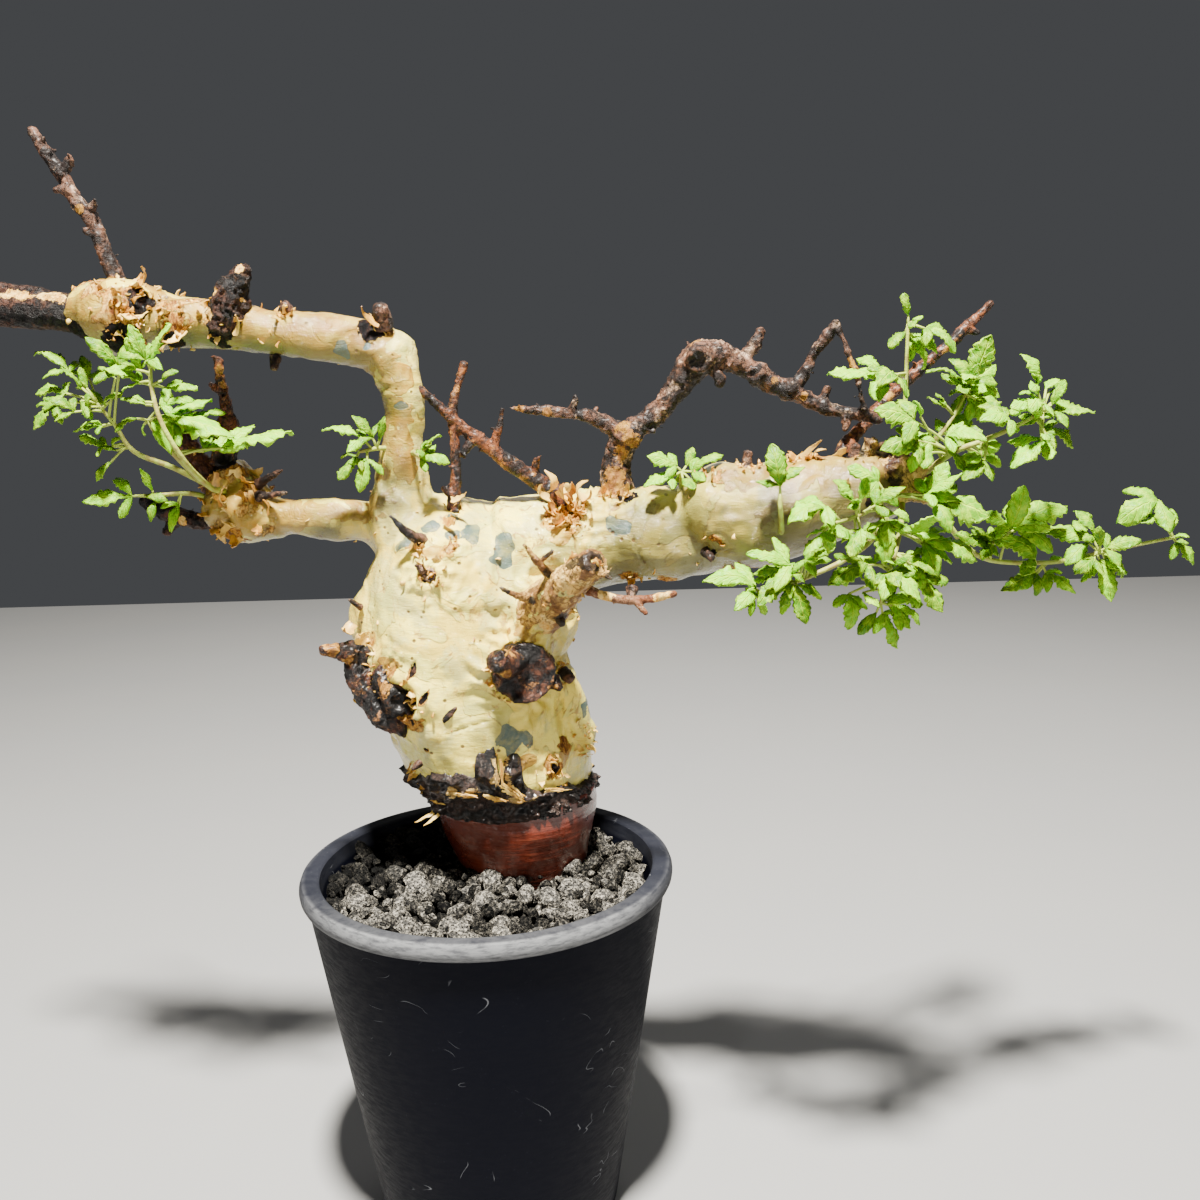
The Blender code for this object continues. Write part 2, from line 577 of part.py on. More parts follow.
def swollen(obj, by=GAP):
    """A copy of obj whose surface stands a little further out, to cut its neighbours clear."""
    copy = helper(obj.name + "_clearance", obj.data.copy())
    spread = copy.modifiers.new("Spread", "DISPLACE")
    spread.strength = by * MM
    spread.mid_level = 0
    return as_mesh(copy)


def finish(obj, name, colour):
    """Names a finished piece, gives it its material and puts it among the plant's pieces."""
    obj.name = name
    obj.data.name = name
    obj.hide_render = False
    obj.display_type = "TEXTURED"
    helpers.objects.unlink(obj)
    plant.objects.link(obj)
    obj.data.materials.clear()
    material = bpy.data.materials.new(name)
    material.use_nodes = True
    shader = material.node_tree.nodes["Principled BSDF"]
    shader.inputs["Base Color"].default_value = (*colour[0], 1)
    shader.inputs["Roughness"].default_value = colour[1]
    obj.data.materials.append(material)
    for face in obj.data.polygons:
        face.material_index = 0
    obj.data.shade_smooth()
    obj.data.set_sharp_from_angle(angle=math.radians(40))
    return obj


def inner_radius(height):
    """The pot's inside radius at a height over its base."""
    foot = POT_BASE_RADIUS - POT_WALL
    share = (height - POT_FLOOR) / (POT_HEIGHT - POT_FLOOR)
    return foot + (POT_MOUTH_RADIUS - foot) * share


def make_pot():
    inside = ((0, POT_FLOOR), (inner_radius(POT_FLOOR), POT_FLOOR), (POT_MOUTH_RADIUS, POT_HEIGHT))
    rim = [(POT_RIM_RADIUS - inwards, POT_HEIGHT - down) for inwards, down in POT_RIM_EDGE]
    foot = ((POT_BASE_RADIUS, POT_FOOT_EDGE), (POT_BASE_RADIUS - POT_FOOT_EDGE, 0), (0, 0))
    profile = (*inside, (POT_TOP_RADIUS, POT_HEIGHT), *rim, *foot)
    pot = turned("pot", profile, POT_STEPS)
    drains = []
    for i in range(DRAIN_HOLES):
        turn = math.tau * (i + 0.5) / DRAIN_HOLES
        x = DRAIN_CIRCLE * math.cos(turn)
        y = DRAIN_CIRCLE * math.sin(turn)
        rod = ((x, y, -POT_FLOOR, DRAIN_RADIUS), (x, y, 2 * POT_FLOOR, DRAIN_RADIUS))
        drains.append(tube("drain", rod, DRAIN_SIDES, 20))
    return combine(pot, drains, "DIFFERENCE")


def grain(name, point, radius, draw):
    """A rough lump of lava, with few faces."""
    lump = ball(name, (0, 0, 0), 1, 1)
    turn = Matrix.Rotation(draw.uniform(0, math.tau), 4, "Z")
    tilt = Matrix.Rotation(draw.uniform(-GRAIN_TILT, GRAIN_TILT), 4, "X")
    size = Matrix.Diagonal((radius, radius * draw.uniform(*GRAIN_BREADTH), radius * GRAIN_HEIGHT, 1))
    lump.data.transform(Matrix.Translation(place(point)) @ turn @ tilt @ size)
    for vertex in lump.data.vertices:
        vertex.co += (vertex.co - place(point)) * draw.uniform(*GRAIN_DENTS)
    return lump


def make_gravel():
    """The fill of the pot, with a floor of grains over its top and a plain hole for the root."""
    side = GRAVEL_TOP - GRAVEL_MOUND
    mound = GRAVEL_TOP + GRAVEL_MOUND
    profile = (
        (0, mound), (POT_MOUTH_RADIUS / 2, mound), (0.82 * POT_MOUTH_RADIUS, GRAVEL_TOP),
        (inner_radius(side) - GAP, side),
        (inner_radius(POT_FLOOR + GAP) - GAP, POT_FLOOR + GAP), (0, POT_FLOOR + GAP),
    )
    bed = turned("lava_gravel", profile, POT_STEPS)
    draw = random.Random(SEED)
    grains = [grain("grain", (x, y, mound), size, draw) for x, y, size in SPECIAL_GRAINS]
    taken = list(SPECIAL_GRAINS)
    hole_x, hole_y, _, hole = CROWN[3]
    tries = 0
    while len(grains) < GRAINS and tries < GRAIN_TRIES:
        tries += 1
        size = draw.uniform(*GRAIN_RADIUS)
        far = (inner_radius(GRAVEL_TOP) - size - 2 * GAP) * math.sqrt(draw.random())
        turn = draw.uniform(0, math.tau)
        x = far * math.cos(turn)
        y = far * math.sin(turn)
        free = all(math.hypot(x - a, y - b) > GRAIN_SPACING * (size + c) for a, b, c in taken)
        if free and math.hypot(x - hole_x, y - hole_y) > hole - 1:
            height = mound - GRAVEL_MOUND * far / POT_MOUTH_RADIUS + draw.uniform(-0.8, 0.8)
            grains.append(grain("grain", (x, y, height), size, draw))
            taken.append((x, y, size))
    return combine(bed, grains, "UNION")


def trunk_section(height):
    """The middle and the radius of the trunk at a height."""
    rows = smooth_route(TRUNK, 1)
    return min(rows, key=lambda row: abs(row[2] - height))


def tongue(turn):
    """How far the bark's torn edge stands over its plain height, at an angle in degrees."""
    rise = sum(size * math.sin(math.radians(waves * turn)) for size, waves in BARK_EDGE_WAVES)
    for middle, half, height in BARK_TONGUES:
        off = abs((turn - middle + 180) % 360 - 180)
        rise = max(rise, height * min(1, (half - off) / 5))
    return rise


def make_old_bark():
    """A thick band between crown and trunk, whose torn upper edge clasps the trunk."""
    shoulder = BARK_EDGE - BARK_TEAR
    middle = (BARK_EDGE + BARK_FOOT) / 2
    profile = (
        (0, shoulder), (0.84, shoulder), (0.93, BARK_EDGE), (1, BARK_EDGE),
        (1.01, middle), (0.99, BARK_FOOT + BARK_TEAR), (0.95, BARK_FOOT), (0, BARK_FOOT),
    )
    scaled = [(share * BARK_GUIDE, height) for share, height in profile]
    band = turned("old_bark", scaled, BARK_STEPS)
    for vertex in band.data.vertices:
        turn = math.degrees(math.atan2(vertex.co.y, vertex.co.x))
        share = math.hypot(vertex.co.x, vertex.co.y) / (BARK_GUIDE * MM)
        height = vertex.co.z / MM
        if height > BARK_EDGE - BARK_TEAR / 2:
            height += tongue(turn)
        x, y, _, radius = trunk_section(height)
        size, waves = BARK_SIDE_WAVE
        far = share * (radius + BARK_PROUD + size * math.sin(math.radians(waves * turn)))
        angle = math.radians(turn)
        vertex.co = place((x + far * math.cos(angle), y + far * math.sin(angle), height))
    return band


def flake(point, end, width):
    """A curled scrap of bark that is sunk into the wood at its broad end."""
    base = Vector(point)
    along = Vector(end) - base
    root = base - along * FLAKE_ROOT
    side = along.cross(Vector((0.3, 0.5, 1))).normalized() * width / 2
    lift = side.cross(along).normalized() * along.length * FLAKE_BEND
    mesh = bpy.data.meshes.new("flake")
    form = bmesh.new()
    rows = []
    for share, half in FLAKE_OUTLINE:
        middle = root.lerp(base + along, share) + lift * (share * share)
        rows.append([form.verts.new(place(middle + side * half * s)) for s in (-1, 1)])
    for near, far in zip(rows, rows[1:]):
        form.faces.new((near[0], near[1], far[1], far[0]))
    bmesh.ops.triangulate(form, faces=form.faces)
    form.to_mesh(mesh)
    form.free()
    scrap = helper("flake", mesh)
    shell = scrap.modifiers.new("Thickness", "SOLIDIFY")
    shell.thickness = FLAKE_THICKNESS * MM
    shell.offset = 0
    return as_mesh(scrap)


def make_trunk():
    stem = (TRUNK_FOOT, *TRUNK[TRUNK_ROOT:])
    limbs = (stem, RIGHT_LIMB, UPPER_ARM, LOWER_ARM, LOWER_ARM_STUB, FRONT_BRANCH)
    trunk = grown("trunk", limbs, TRUNK_LUMPS, TRUNK_VOXEL, TRUNK_TRIANGLES, TRUNK_BUMPS)
    extras = [tube("thorn", thorn, 4, 9) for thorn in THORNS]
    extras += [flake(*row) for row in FLAKES]
    return combine(trunk, extras, "UNION")


def blade(joint, tip, root, draw):
    """One leaf as one thin arched sheet: its stalk, two side leaflets and a middle leaflet."""
    axis = (tip - joint).normalized()
    length = (tip - joint).length
    across_x, across_y, up = LEAF_FACING
    facing = Vector((draw.uniform(*across_x), draw.uniform(*across_y), up))
    side = axis.cross(facing).normalized()
    normal = side.cross(axis)
    half = STALK_WIDTH / 2 / length
    across = (joint - root).cross(normal).normalized() * STALK_WIDTH / 2
    form = bmesh.new()

    def spot(along, out):
        lift = 4 * LEAF_ARCH * max(along, 0) * (1 - along) - LEAF_FOLD * abs(out)
        return form.verts.new(place(joint + (axis * along + side * out + normal * lift) * length))

    outline = SMALL_OUTLINE if length < SMALL_LEAF else LEAF_OUTLINE
    if length < YOUNG_LEAF:
        outline = YOUNG_OUTLINE
    notch = LEAF_NOTCH[outline]
    base = [spot(0, half), spot(0, -half)]
    middle = spot(LEAF_MIDDLE, 0)
    end = spot(1, 0)
    foot = [form.verts.new(place(root + across * sign)) for sign in (1, -1)]
    if (joint - root).normalized().dot(axis) < STRAIGHT_STALK:
        neck = [spot(-NECK / length, half), spot(-NECK / length, -half)]
        form.faces.new((neck[0], base[0], base[1], neck[1]))
        form.faces.new((foot[0], neck[0], neck[1], foot[1]))
    else:
        form.faces.new((foot[0], base[0], base[1], foot[1]))
    form.faces.new((base[0], middle, base[1]))
    for sign, corner in ((1, base[0]), (-1, base[1])):
        rim = [spot(along, out * sign) for along, out in outline]
        for start, stop in zip(rim[:notch], rim[1:]):
            form.faces.new((corner, start, stop)[::sign])
        for start, stop in zip([corner, *rim[notch:]], [*rim[notch:], end]):
            form.faces.new((middle, start, stop)[::sign])
    bmesh.ops.recalc_face_normals(form, faces=form.faces)
    bmesh.ops.triangulate(form, faces=form.faces)
    mesh = bpy.data.meshes.new("blade")
    form.to_mesh(mesh)
    form.free()
    leaf = helper("blade", mesh)
    shell = leaf.modifiers.new("Thickness", "SOLIDIFY")
    shell.thickness = BLADE * MM
    shell.offset = 0
    return as_mesh(leaf)


def stalk_root(route, joint, axis):
    """The point of the stem that a leaf's stalk grows from, so that it needs no sharp turn."""
    def cost(spot):
        way = joint - spot
        return way.length * (1.7 - way.normalized().dot(axis))

    return min([spot for spot in route if (joint - spot).length > NECK], key=cost)


def make_shoot(name, stem, leaves, draw):
    """A green stem with its leaves, each on a stalk that is sunk into the stem."""
    thick, thin = STEM_RADIUS
    last = len(stem) - 1
    rows = [(*point, thick + (thin - thick) * i / last) for i, point in enumerate(stem)]
    rod = tube(name, rows, 4, STEM_STEP)
    route = [Vector(row[:3]) for row in smooth_route(rows, 1)][2:]
    parts = []
    for joint, tip in leaves:
        joint = Vector(joint)
        tip = Vector(tip)
        root = stalk_root(route, joint, (tip - joint).normalized())
        parts.append(blade(joint, tip, root, draw))
    return combine(rod, parts, "UNION")


def main():
    for obj in list(bpy.data.objects):
        bpy.data.objects.remove(obj, do_unlink=True)
    bpy.context.scene.collection.children.link(plant)
    bpy.context.scene.collection.children.link(helpers)
    old_bark = make_old_bark()
    crown = tube("root_crown", CROWN, CROWN_SIDES, 9)
    roughen(crown, CROWN_BUMPS)
    crown = combine(crown, [swollen(old_bark)], "DIFFERENCE")
    gravel = combine(make_gravel(), [swollen(crown)], "DIFFERENCE")
    trunk = combine(make_trunk(), [swollen(old_bark)], "DIFFERENCE")

    wood = (
        ("knobbed_branch", KNOBBED_BRANCH, KNOBS, 1.0, 460, TWIG_BROWN),
        ("crossed_twig", CROSSED_TWIG, (), 0.8, 280, TWIG_BROWN),
        ("peeled_arm_tip", PEELED_TIP, (), 1.2, 120, CHARRED),
        ("arm_tip_twig", TIP_TWIG, (), 0.9, 190, TWIG_BROWN),
        ("arm_stump", ARM_STUMP, (), 1.2, 80, CHARRED),
        ("hanging_twig", HANGING_TWIG, (), 1.0, 100, CHARRED),
        ("rust_stub", RUST_STUB, (), 1.2, 70, RUST),
        ("black_stub", BLACK_STUB, (), 1.0, 80, CHARRED),
        ("back_twig", BACK_TWIG, (), 0.9, 140, TWIG_BROWN),
        ("dry_twig", DRY_TWIG, (), 0.7, 80, DRY_WOOD),
        ("limb_end", LIMB_END, (), 1.2, 170, CHARRED),
        ("cut_stub", CUT_STUB, (), 1.2, 110, RUST),
        ("left_scar", LEFT_SCAR, (), 1.2, 96, RUST),
    )
    dark_wood = {}
    for name, limbs, lumps, voxel, triangles, colour in wood:
        piece = grown(name, limbs, lumps, voxel, triangles, WOOD_BUMPS)
        dark_wood[name] = (combine(piece, [swollen(trunk)], "DIFFERENCE"), colour)
    draw = random.Random(SEED)
    shoots = {}
    for name, (stem, leaves) in SHOOTS.items():
        shoot = make_shoot(name, stem, leaves, draw)
        clear = [swollen(trunk)] + [swollen(piece) for piece, _ in dark_wood.values()]
        shoots[name] = combine(shoot, clear, "DIFFERENCE")

    finish(make_pot(), "pot", POT_BLACK)
    finish(gravel, "lava_gravel", LAVA)
    finish(crown, "root_crown", CROWN_RED)
    finish(old_bark, "old_bark", BARK_BLACK)
    finish(trunk, "trunk", CREAM)
    for name, (piece, colour) in dark_wood.items():
        finish(piece, name, colour)
    for name, piece in shoots.items():
        finish(piece, name, LEAF_GREEN)


main()
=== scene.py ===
import json
import math
import random

import bmesh
import bpy
import numpy as np
from mathutils import Matrix, Vector
from mathutils.bvhtree import BVHTree

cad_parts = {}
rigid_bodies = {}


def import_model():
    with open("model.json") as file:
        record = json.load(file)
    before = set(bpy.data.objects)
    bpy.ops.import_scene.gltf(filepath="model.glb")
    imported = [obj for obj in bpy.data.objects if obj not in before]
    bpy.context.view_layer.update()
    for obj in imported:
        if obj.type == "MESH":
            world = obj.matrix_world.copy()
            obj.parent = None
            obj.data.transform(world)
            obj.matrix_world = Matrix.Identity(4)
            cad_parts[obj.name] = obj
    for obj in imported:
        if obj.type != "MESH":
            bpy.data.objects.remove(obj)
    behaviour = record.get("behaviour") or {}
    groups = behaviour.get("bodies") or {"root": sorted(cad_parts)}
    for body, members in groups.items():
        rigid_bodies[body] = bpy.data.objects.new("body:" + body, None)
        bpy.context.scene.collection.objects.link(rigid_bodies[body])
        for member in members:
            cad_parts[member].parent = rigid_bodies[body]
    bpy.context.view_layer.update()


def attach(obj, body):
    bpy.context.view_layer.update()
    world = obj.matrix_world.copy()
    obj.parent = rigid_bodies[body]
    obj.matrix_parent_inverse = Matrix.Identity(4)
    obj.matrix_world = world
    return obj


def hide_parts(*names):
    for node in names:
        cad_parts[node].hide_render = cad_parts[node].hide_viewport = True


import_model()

# Points and sizes are in millimetres, and a point is (x, y, z) or (x, y, z, radius).
MM = 0.001
SEED = 27

# The plant's limbs, twigs and shoots, on the same routes as the part's source gives them

TRUNK = (
    (6.5, 21, 180, 36), (6, 21, 188, 39.2), (-1, 20, 206, 43), (-7, 19, 226, 42.5),
    (-9, 18, 244, 40.5), (-7, 17, 261, 38.5), (-1, 17, 274, 35), (5, 17, 282, 28),
)
RIGHT_LIMB = (
    (14, 17, 273, 26), (34, 15, 277, 22), (55, 12, 280, 19.3), (74, 8, 282, 18.8),
    (91, 4, 284, 17.6), (104, 0, 288, 19.6), (118, -4, 292, 19.4), (135, -8, 296, 17.6),
    (149, -12, 300, 15), (159, -14, 303, 12),
)
UPPER_ARM = (
    (-10, 16, 266, 24), (-21, 15, 279, 20), (-29, 14, 291, 15), (-29, 12, 305, 11.2),
    (-27, 10, 317, 9.5), (-26, 9, 328, 8.5), (-26, 8, 341, 8.6), (-28, 7, 352, 9.4),
    (-34, 6, 358, 9.4), (-42, 5, 360, 8.6), (-52, 4, 361, 8.8), (-64, 3, 362, 9),
    (-76, 3, 364, 8.8), (-89, 3, 367, 9.2), (-101, 3, 369, 9.2), (-112, 3, 370, 9.8),
    (-123, 3, 372, 11.8), (-132, 3, 373, 12.6), (-140, 4, 374, 10.4), (-147, 5, 374, 8.4),
)
LOWER_ARM = (
    (-18, 17, 270, 19), (-32, 19, 284, 14.5), (-43, 20, 290, 9.6), (-56, 22, 291, 8.1),
    (-70, 23, 292, 7.4), (-82, 24, 292, 8.8), (-92, 25, 294, 11.6), (-101, 25, 296, 12.6),
    (-109, 25, 296, 10),
)
LOWER_ARM_STUB = ((-95, 25, 297, 11.5), (-100, 25, 305, 10.4), (-103, 25, 312, 9))
RIGHT_RIDGE = ((30, 2, 228, 6.5), (36, 3, 214, 8.5), (40, 6, 203, 7.5), (40, 8, 194, 5))
FRONT_BRANCH = (
    (17, 6, 242, 13), (22, -6, 252, 10), (29, -17, 261, 8), (36, -27, 268, 6.6),
    (42, -34, 274, 5.6), (48, -40, 279, 4.6),
)
TRUNK_LUMPS = (
    (-37, 12, 249, 17), (-40, 14, 224, 17.5), (-29, 14, 208, 14), (-17, -6, 267, 13),
    (20, 4, 252, 21), (30, 12, 201, 14.5), (20, 6, 222, 13), (17, -9, 234, 13),
    (8, 44, 238, 20), (-24, 40, 222, 16), (26, 38, 208, 14), (100, -2, 291, 20.6),
    (-130, 3, 371, 13.6), (-97, 25, 295, 13.4), (-28, 10, 355, 10),
)
THORNS = (
    ((-17, -10, 284, 3.2), (-21, -15.5, 287.5, 2.1), (-25, -17.5, 291, 1.6), (-29, -18.5, 296, 0.7)),
    ((-14.5, -13, 273, 4.6), (-15.2, -17.2, 272.6, 3.9)), ((-18, -18, 275, 1.6), (-20, -21, 277, 0.6)),
    ((-88, 20, 306, 2.4), (-82, 16, 309, 1.5), (-76, 13, 312, 0.7)),
    ((-88, 18, 301, 2.4), (-74, 8, 303, 0.8)),
    ((-73, 3, 356, 2.4), (-73, 0, 351, 1.6)),
    ((-22, -16, 232, 1.6), (-22, -19.5, 236, 2.2), (-21, -18.5, 240, 1.0)),
    ((-19, -17, 217, 1.4), (-17, -20.8, 221, 1.7), (-15.5, -20, 225, 0.9)),
    ((-15, -19, 214, 1.4), (-11, -22.6, 218, 1.9), (-7, -21.5, 222, 1.0)),
    ((-31, 4, 366, 4.6), (-31, 1, 371, 3.6), (-31, -1, 373, 2.8)),
    ((107, 0, 304, 2.2), (108, 0, 315, 1.6)),
    ((33, -2, 230, 3), (37, -5, 227, 2.4)),
    ((62, -2, 263, 2.6), (61, -6, 259, 1.4)),
    ((-66, 2, 371, 3.4), (-67, -2, 375, 2.2)),
    ((-45, -2, 258, 2.2), (-49, -6, 262, 0.7)), ((-22, -21, 200, 1.8), (-25, -24, 198, 0.8)),
    ((90, -12, 278, 2.4), (92, -18, 276, 1.7)), ((146, -12, 308, 2.8), (147, -13, 317, 2)),
)
CROWN = (
    (16, 20, 116, 12), (16, 20, 124, 18), (16, 20, 134, 22.5), (15.5, 20, 143, 25.5),
    (14, 20, 152, 29.5), (12.5, 20, 163, 32.8), (11.5, 20, 173, 33.6),
)
KNOBBED_BRANCH = (
    (
        (56, 10, 291, 9), (57, 10, 298, 7.4), (57, 10, 305, 6.2), (58, 10, 314, 5.4),
        (62, 9, 322, 6), (69, 8, 327, 4.8), (76, 7, 333, 4.3), (82, 6, 341, 5.2),
        (88, 5, 349, 6.8), (94, 4, 352, 6.4), (103, 4, 350, 4.7), (112, 4, 344, 4),
        (123, 3, 338, 3.8), (132, 2, 334, 3.4), (141, 1, 330, 2.8), (152, 0, 328, 2.8),
        (159, -1, 326, 2),
    ),
    ((61, 9, 323, 3.6), (51, 9, 328, 2.8), (46, 8, 330, 2.7), (38, 8, 331, 2.4),
     (31, 7, 332, 2.2), (24, 7, 333, 1.9), (16, 7, 334, 1)),
    ((106, 4, 347, 3.2), (109, 4, 353, 2.6), (112, 4, 356, 2.5), (114, 4, 361, 2)),
    ((126, 3, 338, 2.8), (131, 3, 345, 2.3), (134, 3, 352, 2), (139, 3, 358, 1.9),
     (142, 2, 364, 1.5)),
    ((142, 2, 364, 1.5), (148, -1, 347, 1.3), (153, -1, 329, 1.4)),
    ((68, 8, 327, 3), (72, 4, 323, 1.4)),
    ((94, 4, 350, 3.4), (98, 1, 341, 1.6)),
    ((137, 2, 332, 2.6), (139, 1, 339, 1.3)),
    ((146, 0, 328, 2.4), (145, -2, 322, 1.2)),
    ((40, 8, 331, 2.4), (42, 6, 338, 1.1)),
)
KNOBS = ((90, 2, 351, 6.6), (62, 7, 322, 6.4), (112, 3, 344, 4.8), (124, 2, 338, 4.6))
CROSSED_TWIG = (
    (
        (36, 9, 294, 4.6), (33, 8, 300, 4), (27, 8, 304, 3.6), (16, 7, 312, 3.1),
        (6, 6, 320, 2.8), (-2, 6, 326, 2.5), (-9, 5, 333, 2.1), (-15, 5, 339, 1.7),
        (-22, 5, 346, 1),
    ),
    ((10, 6, 317, 2.2), (10, 6, 322, 1.8), (12, 6, 328, 1.5), (13, 6, 334, 1)),
    ((-8, 4, 282, 4), (-8, 3, 291, 3.2), (-7, 3, 299, 2.4), (-6, 4, 308, 2),
     (-6, 5, 318, 1.8), (-6, 6, 328, 2.4), (-6, 6, 336, 2), (-4, 7, 343, 1.8),
     (-1, 8, 352, 1.4)),
    ((24, 8, 307, 2.4), (26, 6, 314, 1.2)),
    ((2, 6, 323, 2.2), (-3, 4, 317, 1.1)),
    ((-6, 3, 300, 2), (-11, 1, 304, 1)),
)
PEELED_TIP = (
    ((-148, 5, 374, 7.4), (-155, 6, 375, 7.2), (-168, 8, 376, 7.1), (-180, 10, 377, 7),
     (-190, 12, 378, 6.2), (-196, 13, 378, 3.4)),
    ((-160, 6, 381, 3), (-178, 8, 384, 2.4), (-193, 11, 385, 1.4)),
)
TIP_TWIG = (
    ((-130, 3, 378, 5.4), (-131, 3, 384, 4), (-132, 3, 390, 3.4), (-135, 3, 399, 3.1),
     (-139, 4, 409, 2.9), (-144, 4, 416, 2.6), (-148, 5, 424, 2.4), (-154, 6, 433, 2.2),
     (-159, 7, 442, 1.6)),
    ((-148, 5, 425, 2), (-144, 4, 430, 1.3)),
    ((-136, 4, 402, 2.6), (-141, 2, 404, 1.2)),
    ((-140, 4, 410, 2.6), (-136, 2, 414, 1.2)),
    ((-146, 4, 419, 2.4), (-151, 3, 419, 1.2)),
)
ARM_STUMP = (
    ((-90, -1, 366, 7), (-88, -2, 372, 7.2), (-86, -3, 379, 6.8), (-82, -4, 385, 5),
     (-80, -4, 389, 3)),
)
HANGING_TWIG = (
    ((-103, 25, 314, 5.6), (-102, 25, 321, 5.2), (-100, 25, 330, 4.4), (-100, 24, 339, 2.6),
     (-101, 23, 348, 2.1), (-101, 22, 357, 1.9)),
    ((-100, 24, 342, 2.2), (-106, 23, 347, 1.3)),
)
RUST_STUB = (
    ((-104, 28, 300, 5), (-110, 28, 308, 5.3), (-116, 29, 317, 5.1), (-122, 30, 327, 4.6),
     (-127, 31, 335, 3.4)),
)
BLACK_STUB = (
    ((-108, 26, 291, 3.6), (-117, 27, 291, 3.8), (-126, 28, 294, 3.8), (-134, 29, 297, 3),
     (-140, 30, 300, 1.6)),
    ((-124, 28, 293, 3), (-130, 27, 287, 1.6)),
)
BACK_TWIG = (
    ((142, -2, 306, 4.4), (147, 3, 316, 3.4), (156, 9, 325, 2.6), (166, 14, 334, 2.4),
     (176, 16, 343, 2.3), (187, 18, 351, 2.2), (197, 20, 360, 2.1), (208, 22, 370, 1.5)),
    ((197, 20, 360, 2), (202, 18, 358, 1.1)),
    ((166, 14, 334, 2.2), (163, 16, 340, 1.1)),
)
DRY_TWIG = (
    ((43, -28, 268, 2.2), (48, -31, 266, 1.8), (56, -33, 264, 1.7), (66, -34, 264, 1.6),
     (77, -35, 266, 1.2)),
    ((62, -34, 264, 1.6), (66, -36, 259, 1)),
)
LIMB_END = (
    ((154, -13, 302, 11.4), (161, -15, 304, 10.4), (168, -17, 306, 8), (174, -18, 308, 4.8)),
    ((150, -14, 310, 4.2), (152, -17, 319, 2.2)),
    ((163, -18, 310, 3.6), (161, -21, 318, 1.6)),
    ((170, -14, 308, 3.4), (176, -11, 314, 1.5)),
    ((168, -20, 300, 3.4), (175, -25, 296, 1.5)),
    ((158, -8, 308, 3.6), (160, -2, 316, 1.6)),
)
CUT_STUB = (
    ((19, -12, 234, 12.4), (19, -18, 234.5, 12.2), (19.5, -23, 235, 11.6)),
    ((17, -20, 237, 6), (13, -29, 240.5, 4.9), (10, -34.5, 242.6, 4.5)),
    ((30, -16, 230, 3), (33, -20, 227, 1.5)),
)
LEFT_SCAR = (
    ((-44, -1, 241, 5.6), (-46, -3, 232, 6.6), (-42, -6, 224, 7.2), (-35, -10, 216, 7),
     (-27, -12, 212, 5)),
    ((-38, -9, 234, 5), (-33, -13, 227, 6.2), (-28, -15, 219, 5)),
    ((-48, -3, 240, 4.4), (-54, -8, 242, 3), (-59, -11.5, 243.5, 1.2)),
)
